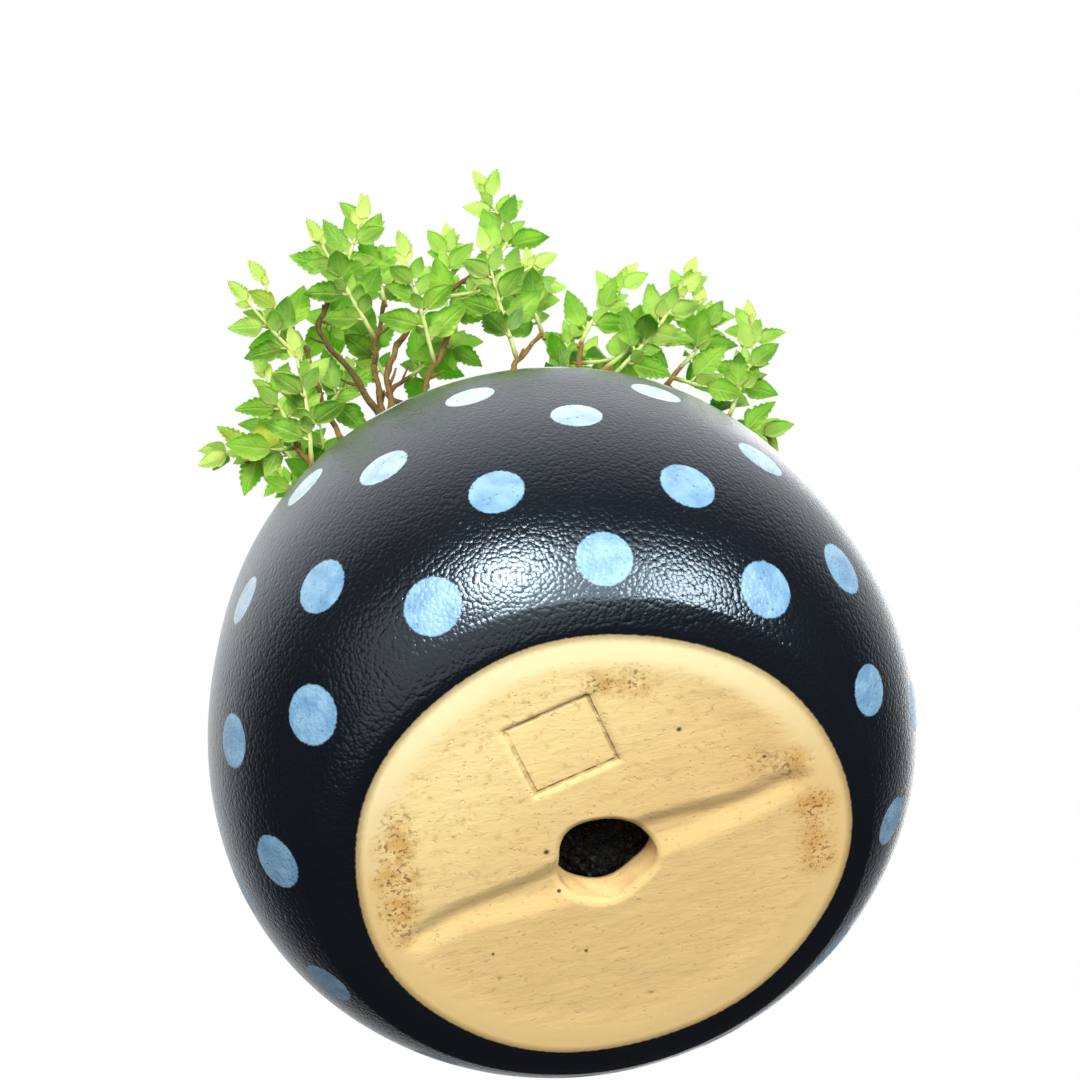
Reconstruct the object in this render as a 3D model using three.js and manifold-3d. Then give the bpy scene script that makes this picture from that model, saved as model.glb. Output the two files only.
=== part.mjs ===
// Small flowering shrub trained as a bonsai, in a round glazed pot, in millimetres, +Z up.
// The origin is the middle of the whole outline, on the ground, and -Y is the side with the
// longest limbs.
import * as THREE from 'three';
import { mergeVertices } from 'three/addons/utils/BufferGeometryUtils.js';
import Module from 'manifold-3d';

const wasm = await Module();
wasm.setup();

// Gap kept between pieces that touch
const FIT = 0.3;

// Pot
const POT_RADIUS = 44;
const POT_HEIGHT = 63;
const POT_BELLY_HEIGHT = 32.2;
const POT_BELLY_REACH = 38.4;
const POT_ROUNDNESS = 2.6;
const POT_WALL = 3.8;
const POT_FLOOR = 5;
const POT_SIDES = 40;
const FOOT_RADIUS = 27.6;
const FOOT_INNER_RADIUS = 24.5;
const FOOT_RECESS = 0.4;
const HOLE_CENTRE = [0.8, 0.4];
const HOLE_RADIUS = 5.5;
const GROOVE_FOOT = [-23.5, 4.6];
const GROOVE_HEAD = [24.8, -3.4];
const GROOVE_WIDTH = 5.4;
const GROOVE_END_WIDTH = 2.2;
const GROOVE_DEPTH = 0.9;
const PANEL_CENTRE = [-0.5, -15.4];
const PANEL_SIZE = [10.2, 9.4];
const PANEL_TURN = -0.165;
const PANEL_DEPTH = 0.5;

// Soil
const SOIL_EDGE_HEIGHT = 56;
const SOIL_TOP_HEIGHT = 58;
const SOIL_FLAT_RADIUS = 16;
const SOIL_SIDES = 32;
const SOIL_RELIEF = 0.7;

// Trunk
const STUMP_DEPTH = 7;
const STUMP_RADIUS = 6;
const ROOT_REACH = 13;
const ROOT_COUNT = 5;

// Leafy shoots
const SHOOT_RADIUS = 0.6;
const SHOOT_TIP_RADIUS = 0.5;
const LEAF_FOOT_HEIGHT = 0.8;
const LEAF_LENGTH = 8.2;
const LEAF_WIDTH = 4.4;
const LEAF_THICKNESS = 0.6;
const LEAF_SPACING = 2.55;
const LEAF_TURN = 2.4;
const LEAF_CLEARANCE = 2.3;
const OWN_LEAF_CLEARANCE = 2.5;
const CROWN_CENTRE = [0, 0, 102];

const glazeMaterial = new THREE.MeshStandardMaterial({ color: 0x15171d, roughness: 0.28, metalness: 0 });
const soilMaterial = new THREE.MeshStandardMaterial({ color: 0x1d1712, roughness: 0.9, metalness: 0 });
const barkMaterial = new THREE.MeshStandardMaterial({ color: 0x6e4a33, roughness: 0.85, metalness: 0 });

// Seeded draws between 0 and 1, the same each time
let seed = 274;
function draw() {
  seed = (seed * 1664525 + 1013904223) % 4294967296;
  return seed / 4294967296;
}

// Solids

function solidOf(geometry) {
  const bare = geometry.clone();
  for (const name of Object.keys(bare.attributes)) {
    if (name !== 'position') bare.deleteAttribute(name);
  }
  const merged = mergeVertices(bare, 1e-4);
  return new wasm.Manifold(new wasm.Mesh({
    numProp: 3,
    vertProperties: new Float32Array(merged.attributes.position.array),
    triVerts: new Uint32Array(merged.index.array),
  }));
}

// The largest shell alone: hollows sealed by joining are filled
function outerShell(solid) {
  return solid.decompose().sort((a, b) => b.volume() - a.volume())[0];
}

function meshOf(name, solid, material) {
  const { vertProperties, triVerts } = solid.getMesh();
  const geometry = new THREE.BufferGeometry();
  geometry.setAttribute('position', new THREE.BufferAttribute(vertProperties, 3));
  geometry.setIndex(new THREE.BufferAttribute(triVerts, 1));
  const flat = geometry.toNonIndexed();
  flat.computeVertexNormals();
  const mesh = new THREE.Mesh(flat, material);
  mesh.name = name;
  return mesh;
}

// Half width of the pot at a height, inside by so much
function wallRadius(height, inset = 0) {
  const part = Math.abs((height - POT_BELLY_HEIGHT) / (POT_BELLY_REACH - inset));
  return (POT_RADIUS - inset) * (1 - part ** POT_ROUNDNESS) ** (1 / POT_ROUNDNESS);
}

function latheSolid(profile, sides) {
  const geometry = new THREE.LatheGeometry(profile.map(([r, z]) => new THREE.Vector2(r, z)), sides);
  geometry.rotateX(Math.PI / 2);
  return solidOf(geometry);
}

// A flat outline in the base's plane, pushed up from below the base to a depth
function baseCutter(outline, depth) {
  const shape = new THREE.Shape(outline.map(([x, y]) => new THREE.Vector2(x, y)));
  const geometry = new THREE.ExtrudeGeometry(shape, { depth: depth + 1, bevelEnabled: false });
  geometry.translate(0, 0, -1);
  return solidOf(geometry);
}

function drainHole() {
  const outline = [];
  const sides = 20;
  for (let i = 0; i < sides; i += 1) {
    const angle = (i / sides) * 2 * Math.PI;
    const radius = HOLE_RADIUS + 0.25 * Math.sin(3 * angle + 1) + 0.15 * Math.sin(5 * angle);
    outline.push([HOLE_CENTRE[0] + radius * Math.cos(angle), HOLE_CENTRE[1] + radius * Math.sin(angle)]);
  }
  return baseCutter(outline, POT_FLOOR + 1);
}

function wiringGroove() {
  const foot = new THREE.Vector2(...GROOVE_FOOT);
  const head = new THREE.Vector2(...GROOVE_HEAD);
  const along = head.clone().sub(foot).normalize();
  const across = new THREE.Vector2(-along.y, along.x);
  const middle = new THREE.Vector2(...HOLE_CENTRE);
  const stations = [[foot, GROOVE_END_WIDTH], [middle, GROOVE_WIDTH], [head, GROOVE_END_WIDTH]];
  const left = stations.map(([p, width]) => p.clone().addScaledVector(across, width / 2));
  const right = stations.map(([p, width]) => p.clone().addScaledVector(across, -width / 2));
  const outline = [...right, ...left.reverse()];
  return baseCutter(outline.map((p) => [p.x, p.y]), FOOT_RECESS + GROOVE_DEPTH);
}

function pressedPanel() {
  const [width, height] = PANEL_SIZE;
  const corners = [[-1, -1], [1, -1], [1, 1], [-1, 1]];
  const outline = corners.map(([sx, sy]) => {
    const corner = new THREE.Vector2((sx * width) / 2, (sy * height) / 2);
    corner.rotateAround(new THREE.Vector2(), PANEL_TURN);
    return [corner.x + PANEL_CENTRE[0], corner.y + PANEL_CENTRE[1]];
  });
  return baseCutter(outline, FOOT_RECESS + PANEL_DEPTH);
}

function makePot() {
  const profile = [[0, FOOT_RECESS], [FOOT_INNER_RADIUS - 0.4, FOOT_RECESS], [FOOT_INNER_RADIUS, 0]];
  profile.push([FOOT_RADIUS, 0], [FOOT_RADIUS + 2, 0.4]);
  for (const height of [2, 6, 13, 22, 33, 43, 51, 57]) {
    profile.push([wallRadius(height), height]);
  }
  const lip = wallRadius(POT_HEIGHT - 1.5);
  profile.push([lip, POT_HEIGHT - 1.5], [lip - 1.6, POT_HEIGHT], [lip - 3, POT_HEIGHT]);
  profile.push([lip - POT_WALL, POT_HEIGHT - 1.6]);
  for (const height of [54, 40, 26, 12]) {
    profile.push([wallRadius(height, POT_WALL), height]);
  }
  profile.push([wallRadius(POT_FLOOR, POT_WALL) - 3, POT_FLOOR], [0, POT_FLOOR]);
  const body = latheSolid(profile, POT_SIDES);
  const bare = body.subtract(drainHole()).subtract(wiringGroove()).subtract(pressedPanel());
  return meshOf('pot', bare, glazeMaterial);
}

// Grainy top: each point of the surface rises or falls by a seeded draw
function makeSoil() {
  const inner = (height) => wallRadius(height, POT_WALL) - FIT * 1.5;
  const bottom = POT_FLOOR + FIT;
  const profile = [[0, bottom], [inner(POT_FLOOR) - 3.4, bottom]];
  for (const height of [12, 26, 40]) {
    profile.push([inner(height), height]);
  }
  profile.push([inner(SOIL_EDGE_HEIGHT), SOIL_EDGE_HEIGHT]);
  for (const radius of [28, 25, 22, 19]) {
    profile.push([radius, SOIL_EDGE_HEIGHT + 0.8]);
  }
  profile.push([SOIL_FLAT_RADIUS, SOIL_TOP_HEIGHT], [0, SOIL_TOP_HEIGHT]);
  const points = profile.map(([r, z]) => new THREE.Vector2(r, z));
  const geometry = mergeVertices(bareLathe(points), 1e-4);
  const place = geometry.attributes.position;
  for (let i = 0; i < place.count; i += 1) {
    const radius = Math.hypot(place.getX(i), place.getY(i));
    const onTop = place.getZ(i) > SOIL_EDGE_HEIGHT + 0.5 && radius > SOIL_FLAT_RADIUS + 1;
    if (onTop) place.setZ(i, place.getZ(i) + SOIL_RELIEF * (draw() * 2 - 1));
  }
  const pit = latheSolid([
    [0, SOIL_TOP_HEIGHT - STUMP_DEPTH - FIT],
    [STUMP_RADIUS + 2 * FIT, SOIL_TOP_HEIGHT - STUMP_DEPTH - FIT],
    [STUMP_RADIUS + 2 * FIT, SOIL_TOP_HEIGHT + 2],
    [0, SOIL_TOP_HEIGHT + 2],
  ], 16);
  return meshOf('soil', solidOf(geometry).subtract(pit), soilMaterial);
}

function bareLathe(points) {
  const geometry = new THREE.LatheGeometry(points, SOIL_SIDES);
  geometry.rotateX(Math.PI / 2);
  geometry.deleteAttribute('normal');
  geometry.deleteAttribute('uv');
  return geometry;
}

// A closed tube that tapers along a curve: a straight prism whose stations are moved onto it
function taperedTube(curve, sides, steps, radiusAt) {
  const outline = [];
  for (let i = 0; i < sides; i += 1) {
    const angle = (i / sides) * 2 * Math.PI;
    outline.push(new THREE.Vector2(Math.cos(angle), Math.sin(angle)));
  }
  const settings = { depth: 1, steps, bevelEnabled: false };
  const geometry = new THREE.ExtrudeGeometry(new THREE.Shape(outline), settings);
  const place = geometry.attributes.position;
  for (let i = 0; i < place.count; i += 1) {
    const t = Math.min(1, Math.max(0, place.getZ(i)));
    const { side, rise } = frameAt(curve, t);
    const point = curve.getPoint(t);
    point.addScaledVector(side, place.getX(i) * radiusAt(t));
    point.addScaledVector(rise, place.getY(i) * radiusAt(t));
    place.setXYZ(i, point.x, point.y, point.z);
  }
  return solidOf(geometry);
}

// The way along a curve at a place, a nearly level side that never twists, and the rise
function frameAt(curve, t) {
  const tangent = curve.getTangent(t);
  const chord = curve.getPoint(1).sub(curve.getPoint(0));
  const side = new THREE.Vector3(0.02, 0.03, 1).cross(chord).normalize();
  side.addScaledVector(tangent, -side.dot(tangent)).normalize();
  const rise = new THREE.Vector3().crossVectors(tangent, side);
  return { tangent, side, rise };
}

function curveThrough(points) {
  const route = points.map(([x, y, z]) => new THREE.Vector3(x, y, z));
  return new THREE.CatmullRomCurve3(route, false, 'catmullrom', 0.5);
}

// Boughs that the trunk forks into: route and radius at foot and tip
const boughs = [
  { route: [[-1, -2, 58], [-3, -7, 66], [-8, -14, 71], [-10, -21, 78], [-14, -27, 83]], foot: 2.3, tip: 1 },
  { route: [[2, -1, 58], [5, -3, 66], [11, -7, 71], [15, -13, 78], [21, -16, 84]], foot: 2.1, tip: 1 },
  { route: [[-2, 1, 58], [-7, 4, 66], [-11, 11, 72], [-18, 15, 79], [-21, 22, 86]], foot: 2.3, tip: 1 },
  { route: [[1, 2, 60], [6, 7, 68], [10, 15, 74], [17, 19, 81], [19, 27, 88]], foot: 2.3, tip: 1 },
  { route: [[0, 0, 58], [-1, 1, 70], [2, 4, 80], [-1, 3, 91], [2, -1, 103]], foot: 2.8, tip: 1 },
];

// Front limbs: woody route, side shoots, and the young shoot that carries on from the tip
const limbs = [
  { route: [[-14, -27, 83], [-16, -32, 87], [-19, -38, 92], [-21, -41, 97], [-19, -44, 103],
    [-18, -46, 108]],
    sides: 2, young: [[-18, -46, 108], [-17, -48, 111], [-18, -51, 115]] },
  { route: [[-14, -27, 83], [-14, -33, 91], [-13, -36, 97], [-10, -41, 106]],
    sides: 1, young: [[-10, -41, 106], [-10, -45, 111], [-11, -49, 115], [-10, -53, 120]] },
  { route: [[-13, -26, 82], [-12, -33, 90], [-9, -36, 96], [-4, -39, 101], [3, -40, 108], [9, -41, 113]],
    sides: 2, young: [[9, -41, 113], [13, -43, 116], [13, -47, 120], [12, -51, 124]] },
  { route: [[-9, -17, 74], [-9, -24, 81], [-7, -30, 87], [-3, -33, 94], [1, -36, 102]],
    sides: 2, young: [[1, -36, 102], [0, -37, 110], [2, -41, 118], [3, -44, 124]] },
  { route: [[-9, -16, 73], [-16, -22, 77], [-21, -27, 82], [-23, -32, 88], [-24, -39, 98]],
    sides: 2, young: [[-24, -39, 98], [-26, -43, 101], [-28, -49, 105]] },
  { route: [[-5, -9, 68], [-13, -13, 71], [-20, -18, 74], [-25, -23, 78], [-28, -26, 83], [-29, -29, 87]],
    sides: 2, young: [[-29, -29, 87], [-30, -33, 90], [-31, -37, 93]] },
  { route: [[8, -5, 69], [6, -14, 76], [6, -22, 82], [7, -28, 88], [10, -30, 92], [14, -31, 97]],
    sides: 1, young: [[14, -31, 97], [14, -35, 102], [15, -39, 107]] },
  { route: [[15, -13, 78], [17, -20, 84], [18, -25, 90], [20, -28, 96]],
    sides: 1, young: [[20, -28, 96], [23, -30, 100], [27, -31, 104], [31, -33, 109]] },
  { route: [[20, -15, 83], [22, -20, 87], [23, -24, 92]],
    sides: 1, young: [[23, -24, 92], [28, -25, 96], [33, -26, 101], [39, -27, 106], [42, -30, 110]] },
  { route: [[21, -16, 84], [29, -18, 88], [35, -20, 94]],
    sides: 1, young: [[35, -20, 94], [39, -21, 98], [42, -23, 102], [43, -26, 107]] },
  { route: [[12, -9, 73], [22, -8, 77], [32, -10, 82], [38, -9, 86], [41, -11, 90]],
    sides: 1, young: [[41, -11, 90], [44, -13, 94], [47, -15, 98], [50, -17, 103], [51, -20, 107]] },
];
const LIMB_FOOT_RADIUS = 0.8;
const LIMB_TIP_RADIUS = 0.45;

// Other limbs spread by a rule: bough, place on it, turn and lift in degrees, share of the crown
const SPREAD_LIMBS = [
  [1, 0.75, 8, 20, 0.62], [3, 0.7, 28, 2, 0.66], [3, 1, 52, 22, 0.64], [3, 0.85, 78, 2, 0.66],
  [3, 0.6, 100, 30, 0.62], [2, 0.85, 118, 4, 0.66], [2, 1, 138, 24, 0.64], [2, 0.8, 162, 2, 0.66],
  [2, 0.6, 184, 22, 0.62], [2, 0.45, 206, 4, 0.64], [4, 0.7, 60, 52, 0.6], [4, 0.75, 150, 50, 0.6],
  [0, 1, 250, 14, 0.52], [4, 0.9, 320, 52, 0.58], [4, 1, 80, 80, 0.62],
];
const CROWN_RADII = [56, 56, 46];

function addSpreadLimbs() {
  for (const [number, place, turn, lift, share] of SPREAD_LIMBS) {
    const azimuth = THREE.MathUtils.degToRad(turn);
    const rise = THREE.MathUtils.degToRad(lift);
    const out = [Math.cos(rise) * Math.cos(azimuth), Math.cos(rise) * Math.sin(azimuth), Math.sin(rise)];
    const end = out.map((part, axis) => CROWN_CENTRE[axis] + part * CROWN_RADII[axis] * share);
    const foot = boughs[number].curve.getPoint(place).toArray();
    const between = (part) => {
      const sway = [5 * draw() - 2.5, 5 * draw() - 2.5, 3 * draw() - 2];
      return foot.map((value, axis) => value + (end[axis] - value) * part + sway[axis]);
    };
    const route = [foot, between(0.35), between(0.7), end];
    limbs.push({ route, sides: 1 });
  }
}

// Points already taken, each with a radius and the number of the limb or shoot that holds it
const taken = [];

function take(point, radius, owner) {
  taken.push([point.x, point.y, point.z, radius, owner]);
}

function isClear(point, radius, owner) {
  for (const [x, y, z, other, holder] of taken) {
    if (holder === owner) continue;
    if (Math.hypot(point.x - x, point.y - y, point.z - z) < radius + other) return false;
  }
  return true;
}

function limbRadius({ foot = LIMB_FOOT_RADIUS, tip = LIMB_TIP_RADIUS }) {
  return (t) => foot + (tip - foot) * t ** 0.8;
}

function takeLimb(limb, owner) {
  const steps = 40;
  for (let i = 0; i <= steps; i += 1) {
    take(limb.curve.getPoint(i / steps), limbRadius(limb)(i / steps), owner);
  }
}

// A leaf's frame: foot, direction, across and up
function leafPoint(leaf, along, across, up) {
  return leaf.foot.clone()
    .addScaledVector(leaf.ahead, along)
    .addScaledVector(leaf.across, across)
    .addScaledVector(leaf.up, up);
}

function leafSamples(leaf) {
  const { length, width } = leaf;
  return [
    leafPoint(leaf, 0.35 * length, 0, 0.4),
    leafPoint(leaf, 0.6 * length, 0, 0.4),
    leafPoint(leaf, 0.58 * length, 0.34 * width, 0.5),
    leafPoint(leaf, 0.58 * length, -0.34 * width, 0.5),
    leafPoint(leaf, 0.95 * length, 0, 0),
  ];
}

// The frame of a blade that points ahead, its face turned up as far as that allows
function bladeAt(foot, ahead, lean, size) {
  const up = new THREE.Vector3(0.22 * Math.cos(lean), 0.22 * Math.sin(lean), 1);
  up.addScaledVector(ahead, -up.dot(ahead)).normalize();
  const across = new THREE.Vector3().crossVectors(up, ahead);
  return { foot, ahead, across, up, length: LEAF_LENGTH * size, width: LEAF_WIDTH * size };
}

// Round an upright shoot the leaves spiral, on a level one they lie to its two sides
function leafAt(shoot, t, turn, size) {
  const { tangent, side, rise } = frameAt(shoot.curve, t);
  const steep = 0.3 + 0.7 * Math.abs(tangent.z);
  const real = Math.atan2(steep * Math.sin(turn), Math.cos(turn));
  const spread = 1.1 - 0.2 * t;
  const ahead = tangent.clone().multiplyScalar(Math.cos(spread))
    .addScaledVector(side, Math.sin(spread) * Math.cos(real))
    .addScaledVector(rise, Math.sin(spread) * Math.sin(real));
  ahead.z *= 0.65;
  ahead.normalize();
  const leaf = bladeAt(shoot.curve.getPoint(t), ahead, turn * 3, size);
  leaf.t = t;
  leaf.turn = real;
  return leaf;
}

function tipLeaf(shoot) {
  const ahead = shoot.curve.getTangent(1);
  ahead.z *= 0.8;
  ahead.normalize();
  return bladeAt(shoot.curve.getPoint(1), ahead, 0.5, 0.6);
}

function awayFrom(samples, points, distance) {
  return samples.every((a) => points.every((b) => a.distanceTo(b) > distance));
}

// Leaves sit by turns round the shoot, and each turns on where another piece is in its way
function addLeaves(shoot) {
  const length = shoot.curve.getLength();
  const count = Math.max(4, Math.round(length / LEAF_SPACING));
  const start = draw() * 2 * Math.PI;
  const own = leafSamples(shoot.tip);
  const stem = shoot.curve.getPoints(24);
  for (let i = 0; i < count; i += 1) {
    const t = 0.1 + 0.84 * ((i + 0.5) / count);
    const size = (1.08 - 0.45 * t) * (0.92 + 0.16 * draw());
    const turn = start + i * LEAF_TURN;
    for (const nudge of [0, 0.45, -0.45, 0.9, -0.9, 1.5, -1.5, 2.2, -2.2, 3]) {
      const leaf = leafAt(shoot, t, turn + nudge, size);
      const samples = leafSamples(leaf);
      const apart = awayFrom(samples, own, OWN_LEAF_CLEARANCE) && awayFrom(samples.slice(1), stem, 1.5);
      if (apart && samples.every((point) => isClear(point, LEAF_CLEARANCE / 2, shoot.owner))) {
        shoot.leaves.push(leaf);
        own.push(...samples);
        break;
      }
    }
  }
  for (const leaf of shoot.leaves) {
    for (const point of leafSamples(leaf)) take(point, LEAF_CLEARANCE / 2, shoot.owner);
  }
}

// A side shoot leaves its limb at a turn round it, then bends up and outward
function sideRoute(limb, t, turn, length) {
  const { tangent, side, rise } = frameAt(limb.curve, t);
  const out = limb.curve.getPoint(t).sub(new THREE.Vector3(...CROWN_CENTRE)).normalize();
  const way = tangent.clone().multiplyScalar(0.5)
    .addScaledVector(side, 0.85 * Math.cos(turn))
    .addScaledVector(rise, 0.85 * Math.sin(turn))
    .addScaledVector(out, 0.3)
    .normalize();
  const slant = Math.sqrt(1 - way.dot(tangent) ** 2);
  const reach = (limbRadius(limb)(t) + FIT + SHOOT_RADIUS * 0.4) / slant;
  const start = limb.curve.getPoint(t).addScaledVector(way, reach);
  const bent = way.clone().add(new THREE.Vector3(0, 0, 0.35)).addScaledVector(out, 0.2).normalize();
  const middle = start.clone().addScaledVector(way, length * 0.5);
  const end = middle.clone().addScaledVector(bent, length * 0.5);
  return [start, middle, end];
}

function shootFits(shoot, limbName) {
  const steps = 8;
  for (let i = 0; i <= steps; i += 1) {
    const t = i / steps;
    const point = shoot.curve.getPoint(t);
    const radius = SHOOT_RADIUS + 0.6;
    if (point.z < POT_HEIGHT + 3) return false;
    if (!isClear(point, radius, limbName)) return false;
    if (t > 0.3 && !isClear(point, radius, 'none')) return false;
  }
  return leafSamples(shoot.tip).every((point) => isClear(point, LEAF_CLEARANCE / 2, 'none'));
}

function addShoot(shoots, route, limbName) {
  const curve = new THREE.CatmullRomCurve3(route, false, 'catmullrom', 0.5);
  const shoot = { curve, leaves: [], owner: `shoot ${shoots.length}` };
  shoot.tip = tipLeaf(shoot);
  if (!shootFits(shoot, limbName)) return false;
  shoots.push(shoot);
  const steps = 12;
  for (let i = 0; i <= steps; i += 1) take(curve.getPoint(i / steps), SHOOT_RADIUS, shoot.owner);
  for (const point of leafSamples(shoot.tip)) take(point, LEAF_CLEARANCE / 2, shoot.owner);
  return true;
}

function tipRoute(limb) {
  const tangent = limb.curve.getTangent(1);
  if (limb.young) {
    const route = limb.young.map(([x, y, z]) => new THREE.Vector3(x, y, z));
    route[0].addScaledVector(tangent, FIT);
    return route;
  }
  const length = 15 + 4 * draw();
  const start = limb.curve.getPoint(1).addScaledVector(tangent, FIT);
  const middle = start.clone().addScaledVector(tangent, length * 0.5);
  const bent = tangent.clone().add(new THREE.Vector3(0, 0, 0.4)).normalize();
  return [start, middle, middle.clone().addScaledVector(bent, length * 0.5)];
}

function growShoots() {
  const shoots = [];
  limbs.forEach((limb, number) => addShoot(shoots, tipRoute(limb), `limb ${number}`));
  limbs.forEach((limb, number) => {
    for (let i = 0; i < limb.sides; i += 1) {
      const t = 0.62 + 0.32 * ((i + 0.3 + 0.4 * draw()) / limb.sides);
      const length = 12 + 5 * draw();
      const turn = draw() * 6.28;
      for (const nudge of [0, 0.8, -0.8, 1.6, -1.6, 2.4, -2.4, 3.1]) {
        if (addShoot(shoots, sideRoute(limb, t, turn + nudge, length), `limb ${number}`)) break;
      }
    }
  });
  return shoots;
}

// Leaf edge: share of the length and of the width at each tooth, to the leaf's right
const LEAF_EDGE = [[0.42, 0.5], [0.58, 0.41], [0.66, 0.43]];
const LEAF_FOLD = 0.22;
const LEAF_DROP = 0.12;

// A toothed blade grows out of a ring of three or four corners of the stem
function growBlade(body, ring, leaf) {
  const half = LEAF_THICKNESS / 2;
  const rim = ([along, across]) => leafPoint(leaf, along * leaf.length, across * leaf.width,
    Math.abs(across) * LEAF_FOLD * leaf.width + half);
  const below = leaf.up.clone().multiplyScalar(-LEAF_THICKNESS);
  const add = (point) => body.points.push(point) - 1;
  const [r1, r2, r3] = LEAF_EDGE.map((place) => add(rim(place)));
  const [l1, l2, l3] = LEAF_EDGE.map(([a, b]) => add(rim([a, -b])));
  const tip = add(leafPoint(leaf, leaf.length, 0, half - LEAF_DROP * leaf.length));
  const rib = add(leafPoint(leaf, 0.5 * leaf.length, 0, half + 0.3));
  const [ur, ut, ul] = [r2, tip, l2].map((index) => add(body.points[index].clone().add(below)));
  const count = ring.length;
  const lift = (corner) => body.points[corner].dot(leaf.up);
  let best = 0;
  let bestLift = Infinity;
  for (let k = 0; k < count; k += 1) {
    const low = count === 3 ? lift(ring[k]) : lift(ring[k]) + lift(ring[(k + 1) % 4]);
    if (low < bestLift) [best, bestLift] = [k, low];
  }
  const turned = ring.map((_, k) => ring[(best + k) % count]);
  const [bl, br, tr, tl] = count === 3 ? [turned[0], ...turned] : turned;
  const loop = [tl, tr, r1, r2, r3, tip, l3, l2, l1];
  loop.forEach((corner, k) => body.faces.push([corner, rib, loop[(k + 1) % loop.length]]));
  body.faces.push([tr, r1, br], [r1, ur, br], [r1, r2, ur], [r2, r3, ur], [r3, ut, ur], [r3, tip, ut]);
  body.faces.push([tip, l3, ut], [l3, ul, ut], [l3, l2, ul], [l2, l1, ul], [l1, bl, ul], [l1, tl, bl]);
  body.faces.push([br, ur, ut], [bl, ut, ul]);
  if (bl !== br) body.faces.push([bl, br, ut]);
}

// Three corners round the shoot, the face between the first two turned towards an angle
function stemRing(body, shoot, t, turn) {
  const { side, rise } = frameAt(shoot.curve, t);
  const radius = SHOOT_RADIUS + (SHOOT_TIP_RADIUS - SHOOT_RADIUS) * t;
  const corners = [-1, 1, 3].map((third) => {
    const angle = turn + (third * Math.PI) / 3;
    const point = shoot.curve.getPoint(t);
    point.addScaledVector(side, radius * Math.cos(angle));
    point.addScaledVector(rise, radius * Math.sin(angle));
    return body.points.push(point) - 1;
  });
  return { corners, turn };
}

// The turn round the end of the shoot that a blade's upper face looks to
function turnOf(leaf, shoot) {
  const { side, rise } = frameAt(shoot.curve, 1);
  return Math.atan2(leaf.up.dot(rise), leaf.up.dot(side));
}

// Joins two rings with the least twist, and may leave the first face open
function joinRings(body, lower, upper, open) {
  const third = (2 * Math.PI) / 3;
  const shift = Math.round((lower.turn - upper.turn) / third);
  for (let k = open ? 1 : 0; k < 3; k += 1) {
    const [a, b] = [lower.corners[k], lower.corners[(k + 1) % 3]];
    const j = (((k + shift) % 3) + 3) % 3;
    const [d, c] = [upper.corners[j], upper.corners[(j + 1) % 3]];
    body.faces.push([a, b, c], [a, c, d]);
  }
}

// One closed skin: a three-sided stem with every leaf growing out of a face of it
function makeShoot(shoot, number) {
  const body = { points: [], faces: [] };
  const half = LEAF_FOOT_HEIGHT / 2 / shoot.curve.getLength();
  const firstTurn = shoot.leaves.length ? shoot.leaves[0].turn : 0;
  let last = stemRing(body, shoot, 0, firstTurn);
  body.faces.push([last.corners[2], last.corners[1], last.corners[0]]);
  for (const leaf of shoot.leaves) {
    const lower = stemRing(body, shoot, leaf.t - half, leaf.turn);
    const upper = stemRing(body, shoot, leaf.t + half, leaf.turn);
    joinRings(body, last, lower, false);
    joinRings(body, lower, upper, true);
    const [a, b] = lower.corners;
    const [d, c] = upper.corners;
    growBlade(body, [a, b, c, d], leaf);
    last = upper;
  }
  const end = stemRing(body, shoot, 1, turnOf(shoot.tip, shoot));
  joinRings(body, last, end, false);
  growBlade(body, end.corners, shoot.tip);
  const geometry = new THREE.BufferGeometry();
  const numbers = body.points.flatMap((point) => point.toArray());
  geometry.setAttribute('position', new THREE.Float32BufferAttribute(numbers, 3));
  geometry.setIndex(body.faces.flat());
  const shade = 0.75 + 0.025 * ((number * 7) % 11);
  const color = new THREE.Color(0.3 * shade, 0.62 * shade, 0.1 * shade);
  const material = new THREE.MeshStandardMaterial({ color, roughness: 0.5 });
  return meshOf(`leafy_shoot_${String(number + 1).padStart(2, '0')}`, solidOf(geometry), material);
}

function makeTrunk() {
  const foot = [0, 0, SOIL_TOP_HEIGHT - STUMP_DEPTH];
  const column = curveThrough([foot, [0, 0, 57], [-1, -1, 62], [-1, -2, 67]]);
  let solid = taperedTube(column, 8, 5, (t) => STUMP_RADIUS - 2 * t);
  for (let i = 0; i < ROOT_COUNT; i += 1) {
    const angle = ((i + 0.35) / ROOT_COUNT) * 2 * Math.PI;
    const reach = ROOT_REACH * (0.97 + 0.12 * Math.sin(5 * i));
    const x = Math.cos(angle);
    const y = Math.sin(angle);
    const route = [[x, y, 62], [x * 5, y * 5, 60.6], [x * reach, y * reach, SOIL_TOP_HEIGHT + FIT + 0.9]];
    solid = solid.add(taperedTube(curveThrough(route), 5, 3, (t) => 2.2 - 1.3 * t));
  }
  for (const bough of boughs) {
    solid = solid.add(taperedTube(bough.curve, 6, 6, limbRadius(bough)));
  }
  for (const limb of limbs) {
    solid = solid.add(taperedTube(limb.curve, 4, limb.route.length - 1, limbRadius(limb)));
  }
  return meshOf('trunk', outerShell(solid), barkMaterial);
}

for (const bough of boughs) bough.curve = curveThrough(bough.route);
addSpreadLimbs();
for (const limb of limbs) limb.curve = curveThrough(limb.route);
boughs.forEach((bough, number) => takeLimb(bough, `bough ${number}`));
limbs.forEach((limb, number) => takeLimb(limb, `limb ${number}`));

const shoots = growShoots();
shoots.forEach(addLeaves);

const plant = new THREE.Group();
plant.add(makePot(), makeSoil(), makeTrunk(), ...shoots.map(makeShoot));

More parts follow.
